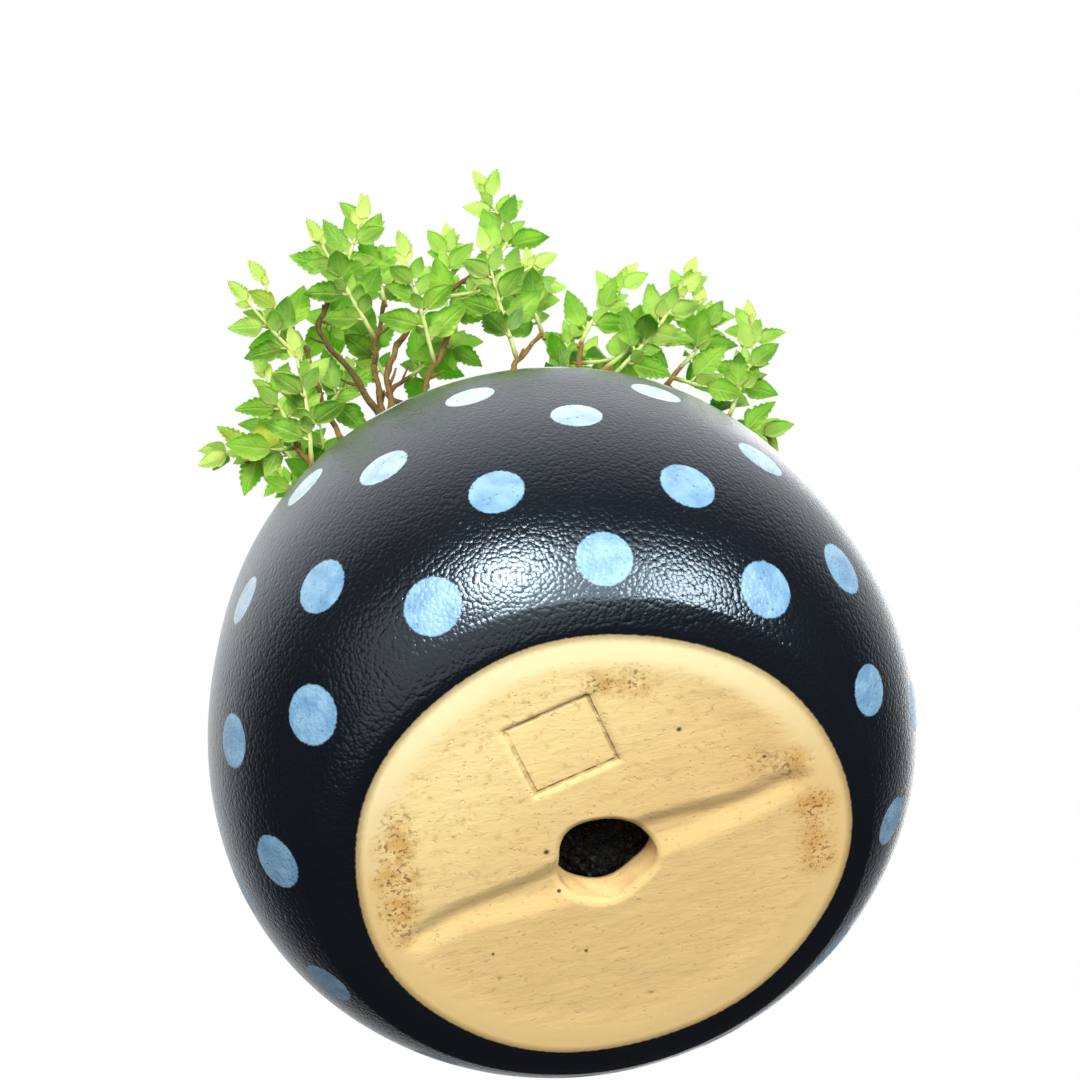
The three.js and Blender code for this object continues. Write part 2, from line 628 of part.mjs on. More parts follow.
// The whole is moved level so that the origin is the middle of its outline, on the ground
const middle = new THREE.Box3().setFromObject(plant).getCenter(new THREE.Vector3());
plant.position.set(-middle.x, -middle.y, 0);

const bonsai = new THREE.Group();
bonsai.add(plant);
bonsai.updateMatrixWorld(true);

export default bonsai;
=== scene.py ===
# Looks of a small shrub bonsai in a round polka-dot pot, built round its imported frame
import math

import bpy
import numpy as np
from mathutils import Matrix, Vector


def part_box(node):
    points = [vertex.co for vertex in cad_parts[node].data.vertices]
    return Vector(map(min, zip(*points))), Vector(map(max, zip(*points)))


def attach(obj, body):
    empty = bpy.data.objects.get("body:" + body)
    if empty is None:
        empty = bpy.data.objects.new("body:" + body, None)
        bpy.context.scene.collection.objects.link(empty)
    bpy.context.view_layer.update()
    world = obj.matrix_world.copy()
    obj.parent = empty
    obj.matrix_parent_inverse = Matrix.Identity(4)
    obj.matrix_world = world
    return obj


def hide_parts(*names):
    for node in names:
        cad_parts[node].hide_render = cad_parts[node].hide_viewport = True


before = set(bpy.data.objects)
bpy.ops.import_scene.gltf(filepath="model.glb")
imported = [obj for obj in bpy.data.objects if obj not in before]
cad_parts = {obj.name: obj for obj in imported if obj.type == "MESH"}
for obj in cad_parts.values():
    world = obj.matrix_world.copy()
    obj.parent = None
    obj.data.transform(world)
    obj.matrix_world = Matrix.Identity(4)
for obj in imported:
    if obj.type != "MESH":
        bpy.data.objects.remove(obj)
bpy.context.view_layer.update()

# The pot's axis in the frame. Every size and place below is in millimetres from the foot of it
MM = 0.001
POT_LOW, POT_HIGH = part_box("pot")
AXIS = (POT_LOW + POT_HIGH) / 2 / MM

# Gap between touching solids of the frame
FIT = 0.3

# Pot
POT_RADIUS = 44
POT_HEIGHT = 63
POT_BELLY_HEIGHT = 32.2
POT_BELLY_REACH = 38.4
POT_ROUNDNESS = 2.6
POT_WALL = 3.8
POT_FLOOR = 5
WALL_FOOT_HEIGHT = 0.9
LIP_ROUNDING = 1.6
FLOOR_ROUNDING = 4
FOOT_RADIUS = 27.6
FOOT_INNER_RADIUS = 24.5
FOOT_RECESS = 0.22
HOLE_CENTRE = (0.8, 0.4)
HOLE_RADIUS = 5.5
HOLE_EASE = 0.25
GROOVE_FOOT = (-23.5, 4.6)
GROOVE_HEAD = (24.8, -3.4)
GROOVE_WIDTH = 6.4
GROOVE_END_WIDTH = 3.0
GROOVE_DEPTH = 0.65
PANEL_CENTRE = (-0.5, -15.4)
PANEL_SIZE = (10.2, 9.4)
PANEL_TURN = -0.165
PANEL_DEPTH = 0.3

# Rounding of the foot: how far out from it, and how high
FOOT_EDGE = [(0.7, 0.06), (1.4, 0.22), (2.1, 0.5)]

# Steps of the pot's mesh, in the order in which its outline is followed
POT_ANGLES = 256
BASE_STEPS = 104
WALL_STEPS = 150
LIP_STEPS = 16
INNER_STEPS = 35
CORNER_STEPS = 5
FLOOR_STEPS = 9
HOLE_STEPS = 8

# Where the glaze's end is looked for: from a step of the base to some steps down the inner wall
GLAZE_BASE_STEP = 60
GLAZE_INNER_STEPS = 8
NO_GLAZE = -5.0

# Painted dots: rings by height, each with the turn of its first dot
DOT_RADIUS = 3.0
DOTS_A_RING = 12
DOT_RINGS = [(3.8, -75.1), (12.1, -60.1), (23.6, -75.1), (35.0, -60.1), (47.9, -75.1), (58.2, -60.1)]

# Rusty stains on the bare base: place, reach and strength
STAINS = [
    (-19.3, -12.0, 2.8, 0.6), (-20.4, -8.8, 3.4, 0.9), (-21.4, -4.8, 3.6, 1.0), (-22.2, -0.8, 3.4, 1.0),
    (-22.8, 2.6, 2.6, 0.8), (4.8, -21.3, 2.8, 0.8), (8.4, -20.7, 3.0, 0.8), (19.8, -6.8, 3.2, 0.5),
    (23.2, -5.4, 3.2, 0.8), (24.6, 0.6, 3.4, 1.0), (24.2, 4.4, 3.0, 0.7), (23.8, 7.4, 3.2, 1.0),
]

# Single dark specks on the bare base: place and radius
SPECKS = [(11.9, -13.6, 0.45), (-3.9, 11.7, 0.35), (-5.1, -2.9, 0.5), (20.2, -7.4, 0.35), (-14.0, 8.6, 0.3)]

# Soil
SOIL_EDGE_HEIGHT = 56
SOIL_TOP_HEIGHT = 58
SOIL_FLAT_RADIUS = 16
SOIL_FIT = 0.45
SOIL_CORNER = 3.4
SOIL_SIDE_HEIGHTS = (48, 40, 26, 12)
SOIL_TURNS = 128
MOUND_STEPS = 60
MOUND_DROP = 1.2
MOUND_EDGE_DROP = 0.5
GRAIN_COUNT = 1500
CRUMB_CORNERS = [(1, 0, 0), (0, 1, 0), (-1, 0, 0), (0, -1, 0), (0, 0, 1), (0, 0, -1)]

# Rings under the soil: wide ones on the pot's floor, then close ones where it sags into the drain hole
UNDER_RADII = [20, 14, 9] + [7.5 - 0.6 * i for i in range(12)]
SAG_RADIUS = 8

# Trunk
STUMP_RADIUS = 6
ROOT_REACH = 13
ROOT_COUNT = 5
LIMB_FOOT_RADIUS = 0.8
LIMB_TIP_RADIUS = 0.45

# Sides and steps of the tubes that wood and stems are made of, or the length of a step
COLUMN_MESH = (28, 22)
BOUGH_MESH = (16, 60)
ROOT_MESH = (14, 24)
SPUR_MESH = (6, 3)
PETIOLE_MESH = (5, 4)
LIMB_SIDES = 10
LIMB_STEP = 0.5
STEM_SIDES = 8
STEM_STEP = 0.6

# Thickness between the knots, as a share of the frame's
BOUGH_SHARE = 0.82
LIMB_SHARE = 0.64

# Front limbs on the +X side, whose bark is warm all over
WARM_LIMBS = (6, 7, 8, 9, 10)

# Leafy shoots
SHOOT_RADIUS = 0.6
LEAF_LENGTH = 8.2
LEAF_WIDTH = 4.4
LEAF_SPACING = 2.55
LEAF_TURN = 2.4
LEAF_CLEARANCE = 2.3
OWN_LEAF_CLEARANCE = 2.5
CROWN_CENTRE = (0, 0, 102)
CROWN_RADII = (56, 56, 46)
LEAF_FOLD = 0.27
LEAF_DROP = 0.12
BLADE_THICKNESS = 0.22

# Floor: side's half length, and how far out it begins to fade into the background, in metres
FLOOR_REACH = 1.6
FLOOR_FADE = 0.35

# Camera that took the picture: place, aim and lens, from a fit to the pot's dots and edges
CAMERA_PLACE = (0, -92.498, -117.345)
CAMERA_RIGHT = (0.96464, 0.23045, -0.12788)
CAMERA_UP = (0.26267, -0.88039, 0.39486)
CAMERA_LENS = 44.33
CAMERA_SENSOR = 36


class Draws:
    """Seeded draws between 0 and 1, the same each time"""

    FACTOR = 1664525
    SHIFT = 1013904223
    RANGE = 2 ** 32

    def __init__(self, seed):
        self.seed = seed

    def __call__(self):
        self.seed = (self.seed * self.FACTOR + self.SHIFT) % self.RANGE
        return self.seed / self.RANGE


# Draws for the plant's layout, which match the frame's, and for what the scene adds
draw = Draws(274)
fine = Draws(11)


# Vectors as plain tuples in double precision, so that the layout matches the frame's

def add(a, b, share=1.0):
    return (a[0] + b[0] * share, a[1] + b[1] * share, a[2] + b[2] * share)


def sub(a, b):
    return (a[0] - b[0], a[1] - b[1], a[2] - b[2])


def dot(a, b):
    return a[0] * b[0] + a[1] * b[1] + a[2] * b[2]


def cross(a, b):
    return (a[1] * b[2] - a[2] * b[1], a[2] * b[0] - a[0] * b[2], a[0] * b[1] - a[1] * b[0])


def unit(a):
    size = math.sqrt(dot(a, a))
    return (a[0] / size, a[1] / size, a[2] / size)


def around(radius, turn, height):
    """A point at a radius and turn round the pot's axis"""
    return (radius * math.cos(turn), radius * math.sin(turn), height)


def in_frame(x, y, z):
    """A place from millimetres round the pot's axis to the frame's metres"""
    return ((x + AXIS.x) * MM, (y + AXIS.y) * MM, z * MM)


class Curve:
    """A smooth curve through points"""

    def __init__(self, points):
        points = [tuple(float(value) for value in point) for point in points]
        before = add(sub(points[0], points[1]), points[0])
        after = add(sub(points[-1], points[-2]), points[-1])
        self.points = points
        self.padded = [before, *points, after]

    def point(self, t):
        spans = len(self.points) - 1
        number = min(math.floor(spans * t), spans - 1)
        return tuple(spline(*values, spans * t - number) for values in zip(*self.padded[number:number + 4]))

    def tangent(self, t):
        low = max(0, t - 0.0001)
        high = min(1, t + 0.0001)
        return unit(sub(self.point(high), self.point(low)))

    def spread(self, count):
        return [self.point(i / count) for i in range(count + 1)]

    def length(self):
        points = self.spread(200)
        return sum(math.dist(a, b) for a, b in zip(points, points[1:]))


def spline(x0, x1, x2, x3, t):
    out = 0.5 * (x2 - x0)
    back = 0.5 * (x3 - x1)
    square = -3 * x1 + 3 * x2 - 2 * out - back
    cube = 2 * x1 - 2 * x2 + out + back
    return x1 + out * t + square * t * t + cube * t * t * t


def frame_at(curve, t):
    """The way along a curve at a place, a nearly level side that never twists, and the rise"""
    tangent = curve.tangent(t)
    chord = sub(curve.point(1), curve.point(0))
    side = unit(cross((0.02, 0.03, 1), chord))
    side = unit(add(side, tangent, -dot(side, tangent)))
    return tangent, side, cross(tangent, side)


# Boughs that the trunk forks into: route and radius at foot and tip
BOUGHS = [
    ([(-1, -2, 58), (-3, -7, 66), (-8, -14, 71), (-10, -21, 78), (-14, -27, 83)], 2.3, 1),
    ([(2, -1, 58), (5, -3, 66), (11, -7, 71), (15, -13, 78), (21, -16, 84)], 2.1, 1),
    ([(-2, 1, 58), (-7, 4, 66), (-11, 11, 72), (-18, 15, 79), (-21, 22, 86)], 2.3, 1),
    ([(1, 2, 60), (6, 7, 68), (10, 15, 74), (17, 19, 81), (19, 27, 88)], 2.3, 1),
    ([(0, 0, 58), (-1, 1, 70), (2, 4, 80), (-1, 3, 91), (2, -1, 103)], 2.8, 1),
]

# Front limbs: woody route, side shoots, and the young shoot that carries on from the tip
FRONT_LIMBS = [
    ([(-14, -27, 83), (-16, -32, 87), (-19, -38, 92), (-21, -41, 97), (-19, -44, 103), (-18, -46, 108)],
     2, [(-18, -46, 108), (-17, -48, 111), (-18, -51, 115)]),
    ([(-14, -27, 83), (-14, -33, 91), (-13, -36, 97), (-10, -41, 106)],
     1, [(-10, -41, 106), (-10, -45, 111), (-11, -49, 115), (-10, -53, 120)]),
    ([(-13, -26, 82), (-12, -33, 90), (-9, -36, 96), (-4, -39, 101), (3, -40, 108), (9, -41, 113)],
     2, [(9, -41, 113), (13, -43, 116), (13, -47, 120), (12, -51, 124)]),
    ([(-9, -17, 74), (-9, -24, 81), (-7, -30, 87), (-3, -33, 94), (1, -36, 102)],
     2, [(1, -36, 102), (0, -37, 110), (2, -41, 118), (3, -44, 124)]),
    ([(-9, -16, 73), (-16, -22, 77), (-21, -27, 82), (-23, -32, 88), (-24, -39, 98)],
     2, [(-24, -39, 98), (-26, -43, 101), (-28, -49, 105)]),
    ([(-5, -9, 68), (-13, -13, 71), (-20, -18, 74), (-25, -23, 78), (-28, -26, 83), (-29, -29, 87)],
     2, [(-29, -29, 87), (-30, -33, 90), (-31, -37, 93)]),
    ([(8, -5, 69), (6, -14, 76), (6, -22, 82), (7, -28, 88), (10, -30, 92), (14, -31, 97)],
     1, [(14, -31, 97), (14, -35, 102), (15, -39, 107)]),
    ([(15, -13, 78), (17, -20, 84), (18, -25, 90), (20, -28, 96)],
     1, [(20, -28, 96), (23, -30, 100), (27, -31, 104), (31, -33, 109)]),
    ([(20, -15, 83), (22, -20, 87), (23, -24, 92)],
     1, [(23, -24, 92), (28, -25, 96), (33, -26, 101), (39, -27, 106), (42, -30, 110)]),
    ([(21, -16, 84), (29, -18, 88), (35, -20, 94)],
     1, [(35, -20, 94), (39, -21, 98), (42, -23, 102), (43, -26, 107)]),
    ([(12, -9, 73), (22, -8, 77), (32, -10, 82), (38, -9, 86), (41, -11, 90)],
     1, [(41, -11, 90), (44, -13, 94), (47, -15, 98), (50, -17, 103), (51, -20, 107)]),
]

# Other limbs spread by a rule: bough, place on it, turn and lift in degrees, share of the crown
SPREAD_LIMBS = [
    (1, 0.75, 8, 20, 0.62), (3, 0.7, 28, 2, 0.66), (3, 1, 52, 22, 0.64), (3, 0.85, 78, 2, 0.66),
    (3, 0.6, 100, 30, 0.62), (2, 0.85, 118, 4, 0.66), (2, 1, 138, 24, 0.64), (2, 0.8, 162, 2, 0.66),
    (2, 0.6, 184, 22, 0.62), (2, 0.45, 206, 4, 0.64), (4, 0.7, 60, 52, 0.6), (4, 0.75, 150, 50, 0.6),
    (0, 1, 250, 14, 0.52), (4, 0.9, 320, 52, 0.58), (4, 1, 80, 80, 0.62),
]


class Limb:
    """A woody bough or limb that thins from its foot to its tip"""

    def __init__(self, route, sides=0, young=None, foot=LIMB_FOOT_RADIUS, tip=LIMB_TIP_RADIUS):
        self.curve = Curve(route)
        self.sides = sides
        self.young = young
        self.foot = foot
        self.tip = tip

    def radius(self, t):
        return self.foot + (self.tip - self.foot) * t ** 0.8


class Leaf:
    """A blade's foot, directions and size"""

    def __init__(self, foot, ahead, lean, size):
        up = (0.22 * math.cos(lean), 0.22 * math.sin(lean), 1)
        self.up = unit(add(up, ahead, -dot(up, ahead)))
        self.foot = foot
        self.ahead = ahead
        self.across = cross(self.up, ahead)
        self.length = LEAF_LENGTH * size
        self.width = LEAF_WIDTH * size
        self.t = 1.0

    def point(self, along, across, up):
        place = add(self.foot, self.ahead, along)
        place = add(place, self.across, across)
        return add(place, self.up, up)

    def lean_along(self, way, share):
        """Holds the leaf closer to a direction"""
        self.ahead = unit(add(self.ahead, way, share))
        self.up = unit(add(self.up, self.ahead, -dot(self.up, self.ahead)))
        self.across = cross(self.up, self.ahead)

    def samples(self):
        length, width = self.length, self.width
        return [
            self.point(0.35 * length, 0, 0.4),
            self.point(0.6 * length, 0, 0.4),
            self.point(0.58 * length, 0.34 * width, 0.5),
            self.point(0.58 * length, -0.34 * width, 0.5),
            self.point(0.95 * length, 0, 0),
        ]


class Shoot:
    """A young stem with its leaves"""

    def __init__(self, route, owner):
        self.curve = Curve(route)
        self.owner = owner
        self.leaves = []
        ahead = self.curve.tangent(1)
        ahead = unit((ahead[0], ahead[1], ahead[2] * 0.8))
        self.tip = Leaf(self.curve.point(1), ahead, 0.5, 0.6)

    def leaf_at(self, t, turn, size):
        """Round an upright shoot the leaves spiral, on a level one they lie to its two sides"""
        tangent, side, rise = frame_at(self.curve, t)
        steep = 0.3 + 0.7 * abs(tangent[2])
        real = math.atan2(steep * math.sin(turn), math.cos(turn))
        spread = 1.1 - 0.2 * t
        ahead = tuple(part * math.cos(spread) for part in tangent)
        ahead = add(ahead, side, math.sin(spread) * math.cos(real))
        ahead = add(ahead, rise, math.sin(spread) * math.sin(real))
        ahead = unit((ahead[0], ahead[1], ahead[2] * 0.65))
        leaf = Leaf(self.curve.point(t), ahead, turn * 3, size)
        leaf.t = t
        leaf.turn = turn
        return leaf


class Space:
    """Points already taken, each with a radius and its owner"""

    def __init__(self):
        self.points = np.zeros((20000, 4))
        self.owners = np.zeros(20000, int)
        self.names = {"none": -1}
        self.count = 0

    def take(self, point, radius, owner):
        self.points[self.count] = (*point, radius)
        self.owners[self.count] = self.names.setdefault(owner, len(self.names))
        self.count += 1

    def is_clear(self, point, radius, owner):
        near = self.points[:self.count]
        away = np.sqrt(((near[:, :3] - point) ** 2).sum(1))
        holder = self.names.get(owner, -1)
        hit = (away < radius + near[:, 3]) & (self.owners[:self.count] != holder)
        return not hit.any()


def spread_limbs(boughs):
    limbs = []
    for number, place, turn, lift, share in SPREAD_LIMBS:
        azimuth = math.radians(turn)
        rise = math.radians(lift)
        out = (math.cos(rise) * math.cos(azimuth), math.cos(rise) * math.sin(azimuth), math.sin(rise))
        end = tuple(c + part * r * share for c, part, r in zip(CROWN_CENTRE, out, CROWN_RADII))
        foot = boughs[number].curve.point(place)
        route = [foot]
        for part in (0.35, 0.7):
            sway = (5 * draw() - 2.5, 5 * draw() - 2.5, 3 * draw() - 2)
            route.append(tuple(a + (b - a) * part + s for a, b, s in zip(foot, end, sway)))
        route.append(end)
        limbs.append(Limb(route, 1))
    return limbs


def side_route(limb, t, turn, length):
    """A side shoot leaves its limb at a turn round it, then bends up and outward"""
    tangent, side, rise = frame_at(limb.curve, t)
    out = unit(sub(limb.curve.point(t), CROWN_CENTRE))
    way = tuple(part * 0.5 for part in tangent)
    way = add(way, side, 0.85 * math.cos(turn))
    way = add(way, rise, 0.85 * math.sin(turn))
    way = unit(add(way, out, 0.3))
    slant = math.sqrt(1 - dot(way, tangent) ** 2)
    reach = (limb.radius(t) + FIT + SHOOT_RADIUS * 0.4) / slant
    start = add(limb.curve.point(t), way, reach)
    bent = unit(add(add(way, (0, 0, 0.35)), out, 0.2))
    middle = add(start, way, length * 0.5)
    return [start, middle, add(middle, bent, length * 0.5)]


def tip_route(limb):
    tangent = limb.curve.tangent(1)
    if limb.young:
        route = [tuple(float(value) for value in point) for point in limb.young]
        return [add(route[0], tangent, FIT), *route[1:]]
    length = 15 + 4 * draw()
    start = add(limb.curve.point(1), tangent, FIT)
    middle = add(start, tangent, length * 0.5)
    bent = unit(add(tangent, (0, 0, 0.4)))
    return [start, middle, add(middle, bent, length * 0.5)]


def shoot_fits(space, shoot, limb_name):
    for i in range(9):
        t = i / 8
        point = shoot.curve.point(t)
        radius = SHOOT_RADIUS + 0.6
        if point[2] < POT_HEIGHT + 3 or not space.is_clear(point, radius, limb_name):
            return False
        if t > 0.3 and not space.is_clear(point, radius, "none"):
            return False
    return all(space.is_clear(point, LEAF_CLEARANCE / 2, "none") for point in shoot.tip.samples())


def try_shoot(space, shoots, route, limb_name):
    shoot = Shoot(route, f"shoot {len(shoots)}")
    if not shoot_fits(space, shoot, limb_name):
        return False
    shoots.append(shoot)
    for point in shoot.curve.spread(12):
        space.take(point, SHOOT_RADIUS, shoot.owner)
    for point in shoot.tip.samples():
        space.take(point, LEAF_CLEARANCE / 2, shoot.owner)
    return True


def grow_shoots(space, limbs):
    shoots = []
    for number, limb in enumerate(limbs):
        try_shoot(space, shoots, tip_route(limb), f"limb {number}")
    for number, limb in enumerate(limbs):
        for i in range(limb.sides):
            t = 0.62 + 0.32 * ((i + 0.3 + 0.4 * draw()) / limb.sides)
            length = 12 + 5 * draw()
            turn = draw() * 6.28
            for nudge in (0, 0.8, -0.8, 1.6, -1.6, 2.4, -2.4, 3.1):
                route = side_route(limb, t, turn + nudge, length)
                if try_shoot(space, shoots, route, f"limb {number}"):
                    break
    return shoots


def away_from(samples, points, distance):
    return all(math.dist(a, b) > distance for a in samples for b in points)


def add_leaves(space, shoot):
    """Leaves sit by turns round the shoot, and each turns on where another piece is in its way"""
    count = max(4, math.floor(shoot.curve.length() / LEAF_SPACING + 0.5))
    start = draw() * 2 * math.pi
    own = shoot.tip.samples()
    stem = shoot.curve.spread(24)
    for i in range(count):
        t = 0.1 + 0.84 * ((i + 0.5) / count)
        size = (1.08 - 0.45 * t) * (0.92 + 0.16 * draw())
        turn = start + i * LEAF_TURN
        for nudge in (0, 0.45, -0.45, 0.9, -0.9, 1.5, -1.5, 2.2, -2.2, 3):
            leaf = shoot.leaf_at(t, turn + nudge, size)
            samples = leaf.samples()
            apart = away_from(samples, own, OWN_LEAF_CLEARANCE) and away_from(samples[1:], stem, 1.5)
            if apart and all(space.is_clear(p, LEAF_CLEARANCE / 2, shoot.owner) for p in samples):
                shoot.leaves.append(leaf)
                own.extend(samples)
                break
    for leaf in shoot.leaves:
        for point in leaf.samples():
            space.take(point, LEAF_CLEARANCE / 2, shoot.owner)


def lay_out():
    """The same boughs, limbs, shoots and leaves as the frame's"""
    boughs = [Limb(route, foot=foot, tip=tip) for route, foot, tip in BOUGHS]
    limbs = [Limb(route, sides, young) for route, sides, young in FRONT_LIMBS]
    limbs += spread_limbs(boughs)
    space = Space()
    for kind, group in (("bough", boughs), ("limb", limbs)):
        for number, limb in enumerate(group):
            for i in range(41):
                space.take(limb.curve.point(i / 40), limb.radius(i / 40), f"{kind} {number}")
    shoots = grow_shoots(space, limbs)
    for shoot in shoots:
        add_leaves(space, shoot)
    return boughs, limbs, shoots


# Meshes

class Skin:
    """Points, faces and named values at each point, gathered into one mesh"""

    def __init__(self, *names):
        self.points = []
        self.faces = []
        self.values = {name: [] for name in names}

    def add_point(self, point, **values):
        self.points.append(point)
        for name, kept in self.values.items():
            kept.append(values.get(name, 0.0))
        return len(self.points) - 1

    def to_object(self, name, material, smooth=True):
        points = (np.array(self.points) + (AXIS.x, AXIS.y, 0)) * MM
        mesh = bpy.data.meshes.new(name)
        mesh.from_pydata(points.tolist(), [], self.faces)
        for value_name, kept in self.values.items():
            layer = mesh.attributes.new(value_name, "FLOAT", "POINT")
            layer.data.foreach_set("value", np.array(kept, np.float32))
        mesh.polygons.foreach_set("use_smooth", [smooth] * len(mesh.polygons))
        mesh.materials.append(material)
        mesh.validate()
        return add_object(name, mesh)


def add_object(name, data):
    made = bpy.data.objects.new(name, data)
    bpy.context.scene.collection.objects.link(made)
    return made


def take_place(piece, node):
    """Puts a piece in the place of its plain solid"""
    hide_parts(node)
    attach(piece, "root")


def join_rings(skin, lower, upper):
    count = len(lower)
    for k in range(count):
        after = (k + 1) % count
        skin.faces.append((lower[k], lower[after], upper[after], upper[k]))


def hang_ring(skin, ring, lower):
    """Joins a ring to the next one further out or down, for a surface whose rings run the other way"""
    count = len(ring)
    for k in range(count):
        after = (k + 1) % count
        skin.faces.append((ring[k], lower[k], lower[after], ring[after]))


def add_tube(skin, curve, radius_at, sides, steps, **values):
    """A closed round tube along a curve, its radius a function of place and turn"""
    rings = []
    for i in range(steps + 1):
        t = i / steps
        _, side, rise = frame_at(curve, t)
        middle = curve.point(t)
        ring = []
        for k in range(sides):
            turn = 2 * math.pi * k / sides
            radius = radius_at(t, turn)
            point = add(add(middle, side, radius * math.cos(turn)), rise, radius * math.sin(turn))
            ring.append(skin.add_point(point, along=t, **values))
        rings.append(ring)
    for lower, upper in zip(rings, rings[1:]):
        join_rings(skin, lower, upper)
    foot = skin.add_point(curve.point(0), **values)
    tip = skin.add_point(add(curve.point(1), curve.tangent(1), 0.4 * radius_at(1, 0)), along=1.0, **values)
    for k in range(sides):
        after = (k + 1) % sides
        skin.faces.append((foot, rings[0][after], rings[0][k]))
        skin.faces.append((tip, rings[-1][k], rings[-1][after]))


# Pot

def wall_radius(height, inset=0.0):
    part = abs((height - POT_BELLY_HEIGHT) / (POT_BELLY_REACH - inset))
    return (POT_RADIUS - inset) * (1 - part ** POT_ROUNDNESS) ** (1 / POT_ROUNDNESS)


def smooth_step(value, low, high):
    part = np.clip((value - low) / (high - low), 0, 1)
    return part * part * (3 - 2 * part)


def groove_depth(x, y):
    """Depth of the shallow wiring groove under each point of the base"""
    foot = np.array(GROOVE_FOOT)
    head = np.array(GROOVE_HEAD)
    middle = np.array(HOLE_CENTRE)
    along = (head - foot) / np.linalg.norm(head - foot)
    place = (x - middle[0]) * along[0] + (y - middle[1]) * along[1]
    aside = -(x - middle[0]) * along[1] + (y - middle[1]) * along[0]
    reach = np.where(place > 0, np.linalg.norm(head - middle), np.linalg.norm(foot - middle))
    share = np.clip(np.abs(place) / reach, 0, 1)
    bend = 0.5 * np.sin(place * 0.28)
    half = (GROOVE_WIDTH + (GROOVE_END_WIDTH - GROOVE_WIDTH) * share) / 2
    sharp = smooth_step(half + aside + bend, -0.7, 2.0)
    gentle = smooth_step(half - aside - bend, -0.6, 2.6)
    ends = smooth_step(reach - np.abs(place), -0.6, 3.0)
    return GROOVE_DEPTH * sharp * gentle * ends


def panel_depth(x, y):
    """Depth of the bare pressed panel"""
    cos, sin = math.cos(-PANEL_TURN), math.sin(-PANEL_TURN)
    dx, dy = x - PANEL_CENTRE[0], y - PANEL_CENTRE[1]
    across = np.abs(dx * cos - dy * sin) - PANEL_SIZE[0] / 2
    down = np.abs(dx * sin + dy * cos) - PANEL_SIZE[1] / 2
    outside = np.hypot(np.maximum(across, 0), np.maximum(down, 0)) + np.minimum(np.maximum(across, down), 0)
    return PANEL_DEPTH * smooth_step(-outside, -0.25, 0.45)


def pot_outline():
    """Radius and height at each station, from the base's edge over the rim to the inner floor"""
    outline = [(FOOT_RADIUS + out, height) for out, height in FOOT_EDGE]
    low = math.asin((POT_BELLY_HEIGHT - WALL_FOOT_HEIGHT) / POT_BELLY_REACH)
    lip_height = POT_HEIGHT - LIP_ROUNDING
    high = math.asin((lip_height - POT_BELLY_HEIGHT) / POT_BELLY_REACH)
    for i in range(WALL_STEPS + 1):
        height = POT_BELLY_HEIGHT + POT_BELLY_REACH * math.sin(-low + (high + low) * i / WALL_STEPS)
        outline.append((wall_radius(height), height))
    lip = wall_radius(lip_height)
    middle = lip - POT_WALL / 2
    for i in range(1, LIP_STEPS):
        angle = math.pi * i / LIP_STEPS
        height = lip_height + LIP_ROUNDING * math.sin(angle)
        outline.append((middle + (lip - middle) * math.cos(angle), height))
    inner_top = lip_height - 0.6
    corner_height = POT_FLOOR + FLOOR_ROUNDING
    for i in range(INNER_STEPS + 1):
        height = inner_top - (inner_top - corner_height) * i / INNER_STEPS
        outline.append((wall_radius(height, POT_WALL), height))
    for i in range(1, CORNER_STEPS + 1):
        angle = math.pi / 2 * i / CORNER_STEPS
        height = corner_height - FLOOR_ROUNDING * math.sin(angle)
        outline.append((floor_radius() + FLOOR_ROUNDING * math.cos(angle), height))
    return outline


def floor_radius():
    """Reach of the flat of the inner floor"""
    return wall_radius(POT_FLOOR + FLOOR_ROUNDING, POT_WALL) - FLOOR_ROUNDING


def base_height(x, y):
    """Height of the underside: recessed inside the foot, with the groove and the panel pressed in"""
    radius = np.hypot(x, y)
    recess = FOOT_RECESS * (1 - smooth_step(radius, FOOT_INNER_RADIUS - 4.0, FOOT_INNER_RADIUS + 0.6))
    return recess + groove_depth(x, y) * (radius < FOOT_RADIUS - 1) + panel_depth(x, y)


def pot_grid():
    """Points of the whole pot as stations by turns, closed both ways through the drain hole"""
    turn = np.arange(POT_ANGLES) / POT_ANGLES * 2 * np.pi
    way = np.array([np.cos(turn), np.sin(turn)])
    middle = np.array(HOLE_CENTRE)[:, None]
    hole = (HOLE_RADIUS + 0.25 * np.sin(3 * turn + 1) + 0.15 * np.sin(5 * turn)) * way
    wobble = 0.006 * np.sin(2 * turn + 0.7) + 0.003 * np.sin(5 * turn)
    rows = []

    def add_row(places, height):
        rows.append((*places, np.full_like(turn, height)))

    for i in range(BASE_STEPS + 1):
        share = i / BASE_STEPS
        places = middle + hole + (FOOT_RADIUS * way - middle - hole) * share
        ease = HOLE_EASE * (1 - smooth_step(share, 0.0, 0.025))
        add_row(places, base_height(*places) + ease)
    for radius, height in pot_outline():
        add_row(radius * (1 + wobble * smooth_step(height, 2, 14)) * way, height)
    for i in range(1, FLOOR_STEPS):
        share = i / FLOOR_STEPS
        add_row(floor_radius() * way * (1 - share) + (middle + hole) * share, POT_FLOOR)
    for i in range(HOLE_STEPS + 1):
        share = i / HOLE_STEPS
        rough = 1 + 0.02 * np.sin(9 * turn + 4 * share) * math.sin(math.pi * share)
        add_row(middle + hole * rough, POT_FLOOR - 0.2 - (POT_FLOOR - 1.6) * share)
    return np.array(rows).transpose(0, 2, 1)


